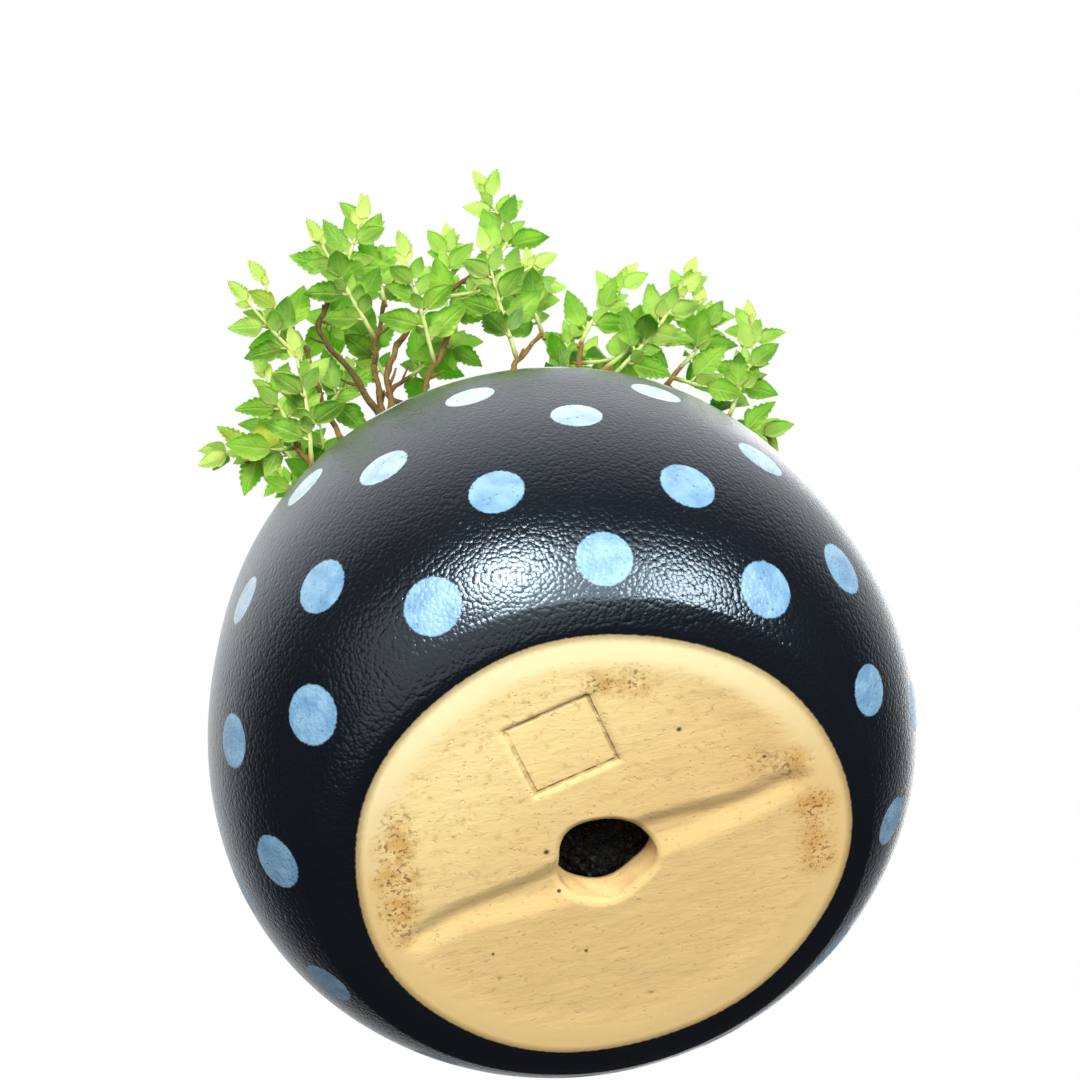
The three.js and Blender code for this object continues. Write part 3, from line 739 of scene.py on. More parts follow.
def dot_centres():
    """Places of the painted dots on the wall, each a little off its rule as a brush leaves them"""
    centres = []
    for height, first in DOT_RINGS:
        for k in range(DOTS_A_RING):
            turn = math.radians(first + k * 360 / DOTS_A_RING + 1.2 * (fine() - 0.5))
            level = height + 0.7 * (fine() - 0.5)
            centres.append((*around(wall_radius(level), turn, level), 0.94 + 0.12 * fine()))
    return np.array(centres)


def glaze_end(turn):
    """Radius at which the glaze ends under the pot, uneven and a little off centre"""
    uneven = 0.25 * np.sin(3 * turn + 1) + 0.1 * np.sin(7 * turn)
    return FOOT_RADIUS - 0.25 + 1.05 * np.cos(turn + 0.25) + uneven


def make_pot(material):
    grid = pot_grid()
    stations = grid.shape[0]
    points = grid.reshape(-1, 3)
    centres = dot_centres()
    away = np.sqrt(((points[:, None, :] - centres[None, :, :3]) ** 2).sum(2))
    radius = np.hypot(points[:, 0], points[:, 1])
    turn = np.arctan2(points[:, 1], points[:, 0])
    number = np.repeat(np.arange(stations), POT_ANGLES)
    inner_end = BASE_STEPS + 1 + len(FOOT_EDGE) + WALL_STEPS + LIP_STEPS + GLAZE_INNER_STEPS
    near_glaze = (number >= GLAZE_BASE_STEP) & (number < inner_end)
    nearest = centres[away.argmin(1)]
    way = (points - nearest[:, :3]) / nearest[:, 3:]
    skin = Skin("dot_x", "dot_y", "dot_z", "dot_edge", "glaze_edge")
    skin.points = points.tolist()
    for name, column in zip(("dot_x", "dot_y", "dot_z"), way.T):
        skin.values[name] = column
    skin.values["dot_edge"] = away.min(1) - DOT_RADIUS
    skin.values["glaze_edge"] = np.where(near_glaze, radius - glaze_end(turn), NO_GLAZE)
    rings = [range(i * POT_ANGLES, (i + 1) * POT_ANGLES) for i in range(stations)]
    for lower, upper in zip(rings, rings[1:] + rings[:1]):
        join_rings(skin, lower, upper)
    take_place(skin.to_object("glazed_pot", material), "pot")


# Soil

def soil_radius(height):
    return wall_radius(height, POT_WALL) - SOIL_FIT


def mound_height(radius):
    """Height of the smooth mound: flat round the trunk, then falling to the pot's wall"""
    share = (radius - SOIL_FLAT_RADIUS) / (soil_radius(SOIL_EDGE_HEIGHT) - SOIL_FLAT_RADIUS)
    return SOIL_TOP_HEIGHT - MOUND_DROP * max(0.0, share)


def lumpy_height(radius, turn):
    return mound_height(radius) + (0.9 * (fine() - 0.5) + 0.35 * math.sin(radius * 0.9 + 3 * turn))


def sagging_height(radius, turn):
    """Height of the soil's underside, which sags unevenly into the drain hole"""
    sag = 0.3 + 0.3 * math.sin(7 * turn + 2.1 * radius) * math.sin(1.3 * radius + 3 * turn)
    return POT_FLOOR + FIT + (sag if radius < SAG_RADIUS else 0)


def soil_ring(skin, radius, height_at):
    ring = []
    for k in range(SOIL_TURNS):
        turn = 2 * math.pi * k / SOIL_TURNS
        point = around(radius, turn, height_at(radius, turn))
        ring.append(skin.add_point(point, grain=fine()))
    return ring


def make_soil(material):
    """A grainy mound with loose grains bedded in it, closed below"""
    skin = Skin("grain")
    reach = soil_radius(SOIL_EDGE_HEIGHT)
    bottom = POT_FLOOR + FIT
    rings = [soil_ring(skin, reach * i / MOUND_STEPS, lumpy_height) for i in range(1, MOUND_STEPS)]
    rings.append(soil_ring(skin, reach, lambda radius, turn: lumpy_height(radius, turn) - MOUND_EDGE_DROP))
    for height in SOIL_SIDE_HEIGHTS:
        rings.append(soil_ring(skin, soil_radius(height), lambda radius, turn: height))
    rings.append(soil_ring(skin, soil_radius(bottom) - SOIL_CORNER, lambda radius, turn: bottom))
    rings += [soil_ring(skin, radius, sagging_height) for radius in UNDER_RADII]
    for ring, lower in zip(rings, rings[1:]):
        hang_ring(skin, ring, lower)
    top = skin.add_point((0, 0, SOIL_TOP_HEIGHT))
    centre = skin.add_point((0, 0, bottom + 0.2))
    for k in range(SOIL_TURNS):
        after = (k + 1) % SOIL_TURNS
        skin.faces.append((top, rings[0][k], rings[0][after]))
        skin.faces.append((centre, rings[-1][after], rings[-1][k]))
    add_grains(skin, reach)
    take_place(skin.to_object("potting_soil", material, smooth=False), "soil")


def add_grains(skin, reach):
    """Loose angular grains half sunk in the top, and a few behind the drain hole"""
    for number in range(GRAIN_COUNT):
        turn = 2 * math.pi * fine()
        if number % 5:
            radius = (reach - 1.2) * math.sqrt(fine())
            middle = around(radius, turn, mound_height(radius) + 0.1)
        else:
            radius = (HOLE_RADIUS + 0.5) * math.sqrt(fine())
            middle = add((*HOLE_CENTRE, 0), around(radius, turn, POT_FLOOR + FIT + 0.1 + 0.4 * fine()))
        add_grain(skin, middle, 0.35 + 0.6 * fine() ** 2, fine())


def add_grain(skin, middle, size, tone):
    """An uneven eight-sided crumb"""
    twist = fine() * 3.14
    cos, sin = math.cos(twist), math.sin(twist)
    corners = []
    for x, y, z in CRUMB_CORNERS:
        reach = size * (0.75 + 0.5 * fine())
        way = (x * cos - y * sin, x * sin + y * cos, z * 0.8)
        corners.append(skin.add_point(add(middle, way, reach), grain=tone))
    for k in range(4):
        after = (k + 1) % 4
        skin.faces.append((corners[k], corners[after], corners[4]))
        skin.faces.append((corners[after], corners[k], corners[5]))


# Trunk

class CrookedCurve(Curve):
    """A curve that sways a little to its sides, as wood does from bud to bud"""

    def __init__(self, points, sway, phase):
        super().__init__(points)
        self.sway = sway
        self.phase = phase
        self.beats = Curve(points).length() / 2.6

    def point(self, t):
        point = super().point(t)
        turn = 2 * self.beats * t + self.phase
        reach = self.sway * min(1.0, 6 * t, 6 * (1 - t))
        point = add(point, (1, 0, 0), reach * math.sin(turn))
        return add(point, (0, 0.7, 0.7), reach * math.sin(1.7 * turn + 1))


def bark_radius(limb, phase, flare, share):
    """Thickness of a limb with a swollen foot, knots at its old buds and uneven sides"""
    beats = limb.curve.length() / 3.4

    def radius_at(t, turn):
        radius = limb.radius(t) * (1 + flare * math.exp(-t * 14))
        knots = 0.3 * max(0.0, math.sin(math.pi * beats * t + phase)) ** 8
        knots *= 0.6 + 0.4 * math.sin(turn + 5 * beats * t)
        uneven = 0.06 * math.sin(2 * turn + 9 * t + phase) + 0.05 * math.sin(3 * turn - 15 * t + phase)
        return radius * (share + 0.2 * t + knots + uneven)
    return radius_at


def add_spurs(skin, curve, radius, count, tone):
    """Short dead spurs and bud stubs that stand out from a limb"""
    for k in range(count):
        t = 0.12 + 0.8 * (k + fine()) / count
        tangent, side, rise = frame_at(curve, t)
        turn = 6.28 * fine()
        way = add(add((0, 0, 0), side, math.cos(turn)), rise, math.sin(turn))
        way = unit(add(way, tangent, 0.9))
        length = 0.9 + 2.2 * fine() ** 2
        thick = min(0.34, 0.55 * radius(t))
        start = add(curve.point(t), way, 0.5 * radius(t))
        middle = add(start, way, 0.5 * length)
        end = add(add(middle, way, 0.5 * length), tangent, 0.25 * length)

        def spur_radius(t, turn, thick=thick):
            return thick * (1 - 0.5 * t)

        add_tube(skin, Curve([start, middle, end]), spur_radius, *SPUR_MESH, tone=tone)


def add_roots(skin):
    """Surface roots that bend aside and dive into the soil, each with a finer root beside it"""
    uneven = Draws(31)
    for i in range(ROOT_COUNT):
        angle = ((i + 0.35) / ROOT_COUNT) * 2 * math.pi
        reach = ROOT_REACH * (0.97 + 0.12 * math.sin(5 * i))
        for k, (thick, share) in enumerate(((1.0, 1.0), (0.5, 0.75))):
            turn = angle + k * (0.35 + 0.5 * uneven())
            x, y = math.cos(turn), math.sin(turn)
            sway = 3.2 * (uneven() - 0.5)
            thick *= 0.8 + 0.35 * uneven()
            near, far = 0.62 * share * reach, share * reach
            route = [
                (x, y, 62),
                (x * 4.6, y * 4.6, 60.9 - 0.8 * k),
                (x * near - y * sway, y * near + x * sway, SOIL_TOP_HEIGHT + 0.9 * thick),
                (x * far - 0.6 * y * sway, y * far + 0.6 * x * sway, SOIL_TOP_HEIGHT - 0.9 * thick),
            ]

            def root_radius(t, turn, thick=thick, phase=i + k):
                knots = 0.1 * math.sin(2 * turn + 8 * t + phase) + 0.08 * math.sin(13 * t + 3 * turn + phase)
                return thick * (2.3 - 1.5 * t ** 0.7) * (1 + knots)

            add_tube(skin, Curve(route), root_radius, *ROOT_MESH, tone=0.25)


def make_trunk(boughs, limbs, material):
    skin = Skin("along", "tone")
    column = Curve([(0, 0, SOIL_TOP_HEIGHT - 7), (0, 0, 57), (-1, -1, 62), (-1, -2, 67)])

    def column_radius(t, turn):
        ridges = 1 + 0.06 * math.sin(5 * turn + 1.2) + 0.03 * math.sin(9 * turn + 6 * t)
        return (STUMP_RADIUS - 2 * t) * ridges

    add_tube(skin, column, column_radius, *COLUMN_MESH, tone=0.3)
    add_roots(skin)
    for number, bough in enumerate(boughs):
        curve = CrookedCurve(bough.curve.points, 0.25, number)
        tone = 0.35 + 0.1 * (number == 1)
        radius_at = bark_radius(bough, 1.7 * number, 0.1, BOUGH_SHARE)
        add_tube(skin, curve, radius_at, *BOUGH_MESH, tone=tone)
        add_spurs(skin, curve, bough.radius, 5, tone)
    for number, limb in enumerate(limbs):
        curve = CrookedCurve(limb.curve.points, 0.22, 2.1 * number)
        steps = round(limb.curve.length() / LIMB_STEP)
        tone = 0.85 if number in WARM_LIMBS else 0.1 + 0.75 * fine()
        radius_at = bark_radius(limb, 2.3 * number, 0.5, LIMB_SHARE)
        add_tube(skin, curve, radius_at, LIMB_SIDES, steps, tone=tone)
        add_spurs(skin, curve, limb.radius, 4, tone)
    take_place(skin.to_object("woody_trunk", material), "trunk")


# Leaves

# Teeth on the blade's right and left edge, and rows without a tooth: share along the blade of each
TOOTH_POINTS = [(0.40, 0.54, 0.67, 0.80), (0.44, 0.60, 0.73, 0.85)]
PLAIN_ROWS = (0.02, 0.07, 0.14, 0.22, 0.3, 0.91, 0.96)
TOOTH_DEPTH = 0.2
NOTCH_WIDTH = 0.04
WIDEST_SHARE = 0.37
PETIOLE_SHARE = 0.13

# Points across the blade from one edge over the rib to the other
BLADE_SIDES = (-1, -0.55, 0, 0.55, 1)


def plain_width(s):
    """Width of the blade without teeth: a rounded wedge up to the widest place, then a pointed arch"""
    if s < WIDEST_SHARE:
        return math.sin(math.pi / 2 * s / WIDEST_SHARE) ** 0.9
    return 1 - ((s - WIDEST_SHARE) / (1 - WIDEST_SHARE)) ** 1.8


def toothed_width(s, tips, depth):
    """Width with a notch behind each tooth, from which the edge runs out again to the next tooth"""
    for tip, following in zip(tips, [*tips[1:], 1.05]):
        if tip < s < following:
            back = (s - tip) / NOTCH_WIDTH
            out = (following - s) / (following - tip - NOTCH_WIDTH)
            return plain_width(s) * (1 - depth * min(back, out))
    return plain_width(s)


def blade_edge():
    """Rows of the blade: share along it, and the width to its right and left, with teeth"""
    shift = 0.05 * (fine() - 0.5)
    depth = TOOTH_DEPTH * (0.2 + 1.1 * fine())
    sides = [[tip + shift + 0.02 * (fine() - 0.5) for tip in tips] for tips in TOOTH_POINTS]
    rows = list(PLAIN_ROWS)
    for tip in sides[0] + sides[1]:
        rows += [tip, tip + NOTCH_WIDTH]
    rows.sort()
    return [(s, *[toothed_width(s, tips, depth) for tips in sides]) for s in rows]


def blade_rim(rows, tip):
    """Points round one face of a blade"""
    return [row[0] for row in rows] + [tip] + [row[-1] for row in reversed(rows)] + rows[0][-2:0:-1]


def add_blade(skin, leaf, tint, youth):
    """A thin closed toothed blade, folded up along its rib, arched and a little waved"""
    edge = blade_edge()
    wave = fine() * 6.28
    droop = LEAF_DROP * (0.6 + 1.0 * fine())
    fold = LEAF_FOLD * (0.5 + 1.0 * fine())
    curl = 0.06 * (fine() - 0.5)
    length, width = leaf.length, leaf.width

    def place(s, v, half, under, thickness):
        """A point at a share along and across the blade, on its upper or its under side"""
        along = PETIOLE_SHARE + (1 - PETIOLE_SHARE) * s
        across = v * half * width * 0.5 + curl * width * s * s
        rise = fold * abs(across) - droop * length * s * s * s
        rise += 0.03 * width * math.sin(3 * math.pi * s + wave) * v * abs(v)
        rise += 0.1 * (1 - abs(v)) * math.sin(math.pi * s)
        point = leaf.point(along * length, across, rise + 0.25 - under * thickness)
        return skin.add_point(point, along=s, aside=v, under=under, tint=tint, youth=youth)

    rims = []
    for under in (0, 1):
        rows = []
        for s, right, left in edge:
            row = [place(s, v, right if v > 0 else left, under, BLADE_THICKNESS) for v in BLADE_SIDES]
            rows.append(row)
        tip = place(1, 0, 0, under, BLADE_THICKNESS / 2)
        faces = []
        for lower, upper in zip(rows, rows[1:]):
            faces += zip(lower, lower[1:], upper[1:], upper)
        faces += [(*pair, tip) for pair in zip(rows[-1], rows[-1][1:])]
        skin.faces.extend(face if under else face[::-1] for face in faces)
        rims.append(blade_rim(rows, tip))
    join_rings(skin, *rims)


def add_petiole(skin, leaf, stem_radius, tint, youth):
    end = leaf.point((PETIOLE_SHARE + 0.06) * leaf.length, 0, 0.2)
    middle = leaf.point(0.1 * leaf.length, 0, 0.02)
    route = [leaf.foot, middle, end]

    def radius_at(t, turn):
        return stem_radius * (0.62 - 0.25 * t)

    add_tube(skin, Curve(route), radius_at, *PETIOLE_MESH, tint=tint, youth=youth, stem=0.6)


def make_shoot(shoot, number, material):
    """One shoot: its stem grown on from the wood, its leaves, and the small young leaves at its tip"""
    skin = Skin("along", "aside", "under", "tint", "youth", "stem")
    points = shoot.curve.points
    way = shoot.curve.tangent(0)
    route = [add(points[0], way, -1.3), *shoot.curve.spread(6)]
    nodes = [leaf.t for leaf in shoot.leaves]

    def radius_at(t, turn):
        swell = sum(math.exp(-((t * 1.04 - node) * 26) ** 2) for node in nodes)
        return (0.37 - 0.16 * t) * (1 + 0.25 * min(1.0, swell))

    steps = round(shoot.curve.length() / STEM_STEP)
    add_tube(skin, Curve(route), radius_at, STEM_SIDES, steps, stem=1.0, youth=0.4, tint=0.5)
    shade = fine()
    for leaf in shoot.leaves:
        youth = max(0.0, (leaf.t - 0.45) / 0.55) * (0.7 + 0.5 * fine())
        tint = 0.55 * shade + 0.45 * fine()
        add_petiole(skin, leaf, 0.5 - 0.2 * leaf.t, tint, youth)
        add_blade(skin, leaf, tint, youth)
    add_blade(skin, shoot.tip, 0.5, 0.9)
    add_axil_leaves(skin, shoot, shade)
    add_tip_leaves(skin, shoot)
    piece = skin.to_object(f"leafy_shoot_leaves_{number:02d}", material)
    take_place(piece, f"leafy_shoot_{number:02d}")


def add_axil_leaves(skin, shoot, shade):
    """A smaller leaf or two from the bud above each leaf, held closer to the stem"""
    for leaf in shoot.leaves:
        for k in range(1 + (fine() > 0.5)):
            t = min(0.97, leaf.t + 0.02 + 0.02 * k)
            turn = leaf.turn + (1.1 if k else -1.1) + 0.8 * (fine() - 0.5)
            small = shoot.leaf_at(t, turn, 0.42 + 0.22 * fine())
            small.lean_along(shoot.curve.tangent(t), 0.35)
            add_blade(skin, small, 0.55 * shade + 0.45 * fine(), 0.25 + 0.5 * fine() * t)


def add_tip_leaves(skin, shoot):
    """Small folded leaves that have just opened round the tip"""
    start = fine() * 6.28
    for k in range(2):
        t = 0.985 - 0.035 * k
        leaf = shoot.leaf_at(t, start + 2.3 * k, 0.26 + 0.08 * k)
        leaf.lean_along(shoot.curve.tangent(1), 0.5)
        add_blade(skin, leaf, 0.5, 1.0)


# Materials

# Linear colours of the surfaces. A pair is the two ends of a patchy mix
GLAZE = [(0.003, 0.004, 0.006), (0.006, 0.008, 0.011)]
GLAZE_TINT = (0.78, 0.91, 1.0, 1)
LOW_PAINT = [(0.155, 0.30, 0.45), (0.26, 0.43, 0.56)]
# Higher dots: paint whitened by a painted sheen of the bright sky
HIGH_PAINT_PAINTED_SHEEN = [(0.50, 0.61, 0.64), (0.69, 0.77, 0.76)]
PAINT_SPECK = (0.10, 0.18, 0.25)
CLAY = [(0.72, 0.450, 0.155), (0.82, 0.535, 0.205)]
# Band of the foot from +Y to -Y: its own paler clay, with painted light that brightens it towards -Y
CLAY_BAND_PAINTED_LIGHT = [(0.78, 0.51, 0.19), (1.0, 0.80, 0.42)]
# Painted light: clay paler on the side the windows are on
PAINTED_LIGHT_CLAY = (1.0, 0.73, 0.30)
CLAY_MOTTLE = (0.72, 0.45, 0.17)
CLAY_CRACK = (0.40, 0.23, 0.10)
CLAY_PINHOLE = (0.10, 0.06, 0.03)
CLAY_SPECK = (0.06, 0.03, 0.01)
PRESSED_LINE = (0.42, 0.22, 0.07)
RUST_SMEAR = (0.62, 0.31, 0.055)
RUST_FLECK = (0.26, 0.11, 0.02)
GLAZE_BORDER = (0.30, 0.17, 0.04)
SOIL = [(0.006, 0.004, 0.003), (0.026, 0.017, 0.011)]
SOIL_CRUMB = (0.070, 0.050, 0.034)
# Painted shade: soil nearly black deep in the drain hole
SOIL_PAINTED_SHADE = (0.001, 0.0007, 0.0004)
DARK_BARK = [(0.038, 0.020, 0.005), (0.140, 0.077, 0.016)]
WARM_BARK = [(0.200, 0.088, 0.013), (0.430, 0.240, 0.040)]
BARK_FLAKE = (0.330, 0.210, 0.065)
BARK_CRACK = (0.018, 0.010, 0.006)
LEAF = [(0.055, 0.150, 0.003), (0.350, 0.570, 0.034)]
LEAF_PATCH = (0.450, 0.660, 0.065)
COOL_LEAF = (0.170, 0.370, 0.180)
OLD_LEAF = (0.500, 0.420, 0.030)
YOUNG_LEAF = (0.680, 0.800, 0.190)
LEAF_VEIN = (0.540, 0.700, 0.160)
LEAF_UNDERSIDE = (0.320, 0.520, 0.170)
YOUNG_STEM = (0.660, 0.790, 0.270)
WOODY_STEM = (0.330, 0.200, 0.060)
PALE_FLOOR = (0.86, 0.86, 0.85, 1)


class Nodes:
    """Short calls for building the nodes of a material or a world"""

    def __init__(self, owner):
        owner.use_nodes = True
        self.owner = owner
        self.tree = owner.node_tree
        self.shader = self.tree.nodes.get("Principled BSDF")

    def plug(self, socket, value):
        """Links a socket where the value is another node's, and sets it where it is plain"""
        if isinstance(value, bpy.types.NodeSocket):
            self.tree.links.new(value, socket)
        else:
            socket.default_value = value

    def plug_all(self, node, values):
        for name, value in values.items():
            self.plug(node.inputs[name], value)

    def node(self, kind, **values):
        made = self.tree.nodes.new(kind)
        self.plug_all(made, values)
        return made

    def value(self, name):
        made = self.node("ShaderNodeAttribute")
        made.attribute_name = name
        return made.outputs["Fac"]

    def places(self):
        return self.node("ShaderNodeTexCoord").outputs["Object"]

    def coordinate(self, axis, way=None):
        return self.node("ShaderNodeSeparateXYZ", Vector=way or self.places()).outputs[axis]

    def noise(self, scale, detail=2.0, rough=0.5, stretch=None):
        places = self.places()
        if stretch:
            places = self.node("ShaderNodeMapping", Vector=places, Scale=stretch).outputs["Vector"]
        made = self.node("ShaderNodeTexNoise", Vector=places, Scale=scale, Detail=detail, Roughness=rough)
        return made.outputs["Fac"]

    def cells(self, scale):
        return self.node("ShaderNodeTexVoronoi", Vector=self.places(), Scale=scale).outputs["Distance"]

    def combine(self, kind, operation, values):
        """A math or vector math node on its values in order"""
        made = self.node(kind)
        made.operation = operation
        for socket, value in zip(made.inputs, values):
            self.plug(socket, value)
        return made.outputs

    def math(self, operation, *values):
        return self.combine("ShaderNodeMath", operation, values)[0]

    def vector(self, operation, *values):
        return self.combine("ShaderNodeVectorMath", operation, values)

    def plus(self, a, b):
        return self.math("ADD", a, b)

    def minus(self, a, b):
        return self.math("SUBTRACT", a, b)

    def times(self, a, b):
        return self.math("MULTIPLY", a, b)

    def ramp(self, value, low, high, start=0.0, end=1.0):
        """Smoothly from start to end as a value goes from low to high"""
        made = self.node("ShaderNodeMapRange")
        made.interpolation_type = "SMOOTHSTEP"
        names = ("Value", "From Min", "From Max", "To Min", "To Max")
        self.plug_all(made, dict(zip(names, (value, low, high, start, end))))
        return made.outputs["Result"]

    def mix(self, share, a, b):
        made = self.node("ShaderNodeMix")
        made.data_type = "RGBA"
        self.plug(made.inputs["Factor"], share)
        for name, colour in (("A", a), ("B", b)):
            self.plug(made.inputs[name], (*colour, 1.0) if isinstance(colour, tuple) else colour)
        return made.outputs["Result"]

    def mix_shaders(self, share, a, b):
        made = self.node("ShaderNodeMixShader")
        for socket, value in zip(made.inputs, (share, a, b)):
            self.plug(socket, value)
        return made.outputs["Shader"]

    def bump(self, height, distance):
        return self.node("ShaderNodeBump", Height=height, Distance=distance, Strength=1.0).outputs["Normal"]

    def spot(self, x, y, z, radius):
        """1 at a place on the pot, in millimetres, down to 0 at a radius"""
        away = self.vector("DISTANCE", self.places(), in_frame(x, y, z))["Value"]
        return self.ramp(away, radius * MM, 0.25 * radius * MM)

    def is_camera_ray(self):
        return self.node("ShaderNodeLightPath").outputs["Is Camera Ray"]

    def dress(self, colour, roughness, **values):
        """Sets the surface's colour, roughness and other inputs, and gives back the material"""
        self.plug_all(self.shader, {"Base Color": colour, "Roughness": roughness})
        self.plug_all(self.shader, {name.replace("_", " "): value for name, value in values.items()})
        return self.owner


def new_material(name):
    return Nodes(bpy.data.materials.new(name))


def panel_line(n):
    """1 along the pressed line round the bare panel"""
    way = n.vector("SUBTRACT", n.places(), in_frame(*PANEL_CENTRE, 0))["Vector"]
    turned = n.node("ShaderNodeVectorRotate", Vector=way, Angle=-PANEL_TURN).outputs["Vector"]
    across, down = [
        n.minus(n.math("ABSOLUTE", n.coordinate(axis, turned)), size / 2 * MM)
        for axis, size in zip("XY", PANEL_SIZE)
    ]
    inside = n.times(n.math("MAXIMUM", across, down), -1 / MM)
    worn = n.ramp(n.noise(700, 3), 0.35, 0.6, 0.35, 1.0)
    line = n.times(n.ramp(inside, 0.1, 0.3), n.ramp(inside, 0.75, 0.5))
    return n.times(line, worn)


def pot_material():
    """Near-black glaze with a fine orange peel and pale dots, and bare cream clay where no glaze lies"""
    n = new_material("glaze_and_clay")
    ragged = n.math("MULTIPLY_ADD", n.noise(2800, 3), 0.36, -0.18)
    dots = n.ramp(n.plus(dot_distance(n), ragged), 0.1, -0.14)
    fuzzy = n.math("MULTIPLY_ADD", n.noise(1800, 2), 0.24, -0.12)
    glaze = n.ramp(n.plus(n.value("glaze_edge"), fuzzy), -0.1, 0.15)
    black = n.mix(n.noise(60, 3), *GLAZE)
    colour = n.mix(glaze, clay_colour(n, fuzzy), n.mix(dots, black, dot_colour(n)))
    roughness = n.ramp(glaze, 0, 1, 0.9, n.ramp(dots, 0, 1, 0.2, 0.36))
    relief = n.bump(n.mix(glaze, clay_height(n), glaze_height(n)), 0.0001)
    return n.dress(colour, roughness, Specular_IOR_Level=0.9, Specular_Tint=GLAZE_TINT, Normal=relief)


def dot_distance(n):
    """Distance in millimetres from the edge of the nearest dot, exact close to it"""
    way = n.node("ShaderNodeCombineXYZ", X=n.value("dot_x"), Y=n.value("dot_y"), Z=n.value("dot_z"))
    close = n.minus(n.vector("LENGTH", way.outputs["Vector"])["Value"], DOT_RADIUS)
    return n.math("MAXIMUM", close, n.minus(n.value("dot_edge"), 0.5))


def glaze_height(n):
    """Rounded pebbles of the orange peel, uneven from place to place, with pinholes; in tenths of a mm"""
    cell = n.cells(2100)
    pebbles = n.times(n.times(cell, cell), -0.46)
    swell = n.times(n.noise(1100, 3), 0.15)
    grain = n.times(n.noise(4600, 2), 0.15)
    pinholes = n.ramp(n.cells(620), 0.0, 0.12, -0.3, 0.0)
    return n.plus(n.plus(pebbles, swell), n.plus(pinholes, grain))


def clay_height(n):
    """Dragged and pitted inside, nearly smooth on the band that the pot stands on"""
    rough = n.ramp(n.value("glaze_edge"), -2.2, -4.2, 0.2, 1.0)
    drag = n.math("MULTIPLY_ADD", n.noise(380, 5, 0.62, stretch=(0.4, 1.0, 1.0)), 1.9, -0.95)
    pits = n.ramp(n.noise(1400, 3, 0.6), 0.31, 0.36, -0.6, 0.0)
    grain = n.times(n.noise(3200, 2), 0.25)
    relief = n.times(rough, n.plus(n.plus(drag, pits), grain))
    return n.minus(relief, n.times(panel_line(n), 1.6))


def dot_colour(n):
    """Pale blue paint, patchy and specked, whitened higher up the wall by a painted sheen"""
    patches = n.ramp(n.noise(420, 4), 0.35, 0.68)
    # Painted sheen: the dots whiten with height as if reflecting the bright sky above
    painted_sheen_height = n.ramp(n.coordinate("Z"), 0.009, 0.034)
    pale = n.mix(painted_sheen_height, n.mix(patches, *LOW_PAINT), n.mix(patches, *HIGH_PAINT_PAINTED_SHEEN))
    return n.mix(n.ramp(n.noise(2300, 3), 0.62, 0.72), pale, PAINT_SPECK)


def clay_colour(n, fuzzy):
    """Cream clay with fine pits, rusty flecks near its edge and a brown line where the glaze ends; painted
    light makes the clay and its band paler towards the windows' side
    """
    inside = n.ramp(n.value("glaze_edge"), -2.0, -4.4)
    # Painted light: the band paler towards -Y, the side the windows light
    band = n.mix(n.ramp(n.coordinate("Y"), 0.004, -0.022), *CLAY_BAND_PAINTED_LIGHT)
    clay = n.mix(n.noise(140, 5, 0.6), *CLAY)
    # Painted light: the clay paler towards -X and -Y, where the windows are
    towards_light = n.vector("DOT_PRODUCT", n.places(), (-0.45, -0.9, 0))["Value"]
    clay = n.mix(n.ramp(towards_light, -0.004, 0.024, 0.0, 0.9), clay, PAINTED_LIGHT_CLAY)
    clay = n.mix(inside, band, clay)
    cracks = n.ramp(n.noise(1100, 4, 0.65, stretch=(0.45, 1.2, 1.0)), 0.66, 0.73, 0.0, 0.85)
    for share, colour in (
        (n.ramp(n.noise(900, 4), 0.55, 0.75), CLAY_MOTTLE),
        (cracks, CLAY_CRACK),
        (n.ramp(n.cells(170), 0.05, 0.03), CLAY_PINHOLE),
    ):
        clay = n.mix(n.times(share, inside), clay, colour)
    clay = n.mix(n.times(panel_line(n), 0.6), clay, PRESSED_LINE)
    flecks = n.ramp(n.noise(1900, 4, 0.62), 0.53, 0.6)
    smear = n.times(n.ramp(n.noise(420, 5, 0.65), 0.4, 0.6, 0.1, 1.0), 0.85)
    for x, y, size, strength in STAINS:
        near = n.times(n.spot(x, y, 0.4, size), strength)
        clay = n.mix(n.times(near, smear), clay, RUST_SMEAR)
        clay = n.mix(n.times(near, flecks), clay, RUST_FLECK)
    for x, y, size in SPECKS:
        clay = n.mix(n.spot(x, y, 0.3, size), clay, CLAY_SPECK)
    rim = n.ramp(n.plus(n.value("glaze_edge"), fuzzy), -1.0, 0.0)
    return n.mix(n.times(rim, 0.75), clay, GLAZE_BORDER)


def soil_material():
    """Damp dark grains, made nearly black deep in the drain hole by painted shade"""
    n = new_material("damp_soil")
    colour = n.mix(n.value("grain"), *SOIL)
    colour = n.mix(n.ramp(n.noise(1500, 3), 0.62, 0.8), colour, SOIL_CRUMB)
    # Painted shade: soil low in the pot, seen through the drain hole, made nearly black
    colour = n.mix(n.ramp(n.coordinate("Z"), 0.012, 0.03, 0.92, 0.0), colour, SOIL_PAINTED_SHADE)
    roughness = n.ramp(n.noise(2500, 2), 0.3, 0.7, 0.35, 0.9)
    relief = n.bump(n.noise(2200, 4), 0.0003)
    return n.dress(colour, roughness, Specular_IOR_Level=0.2, Normal=relief)


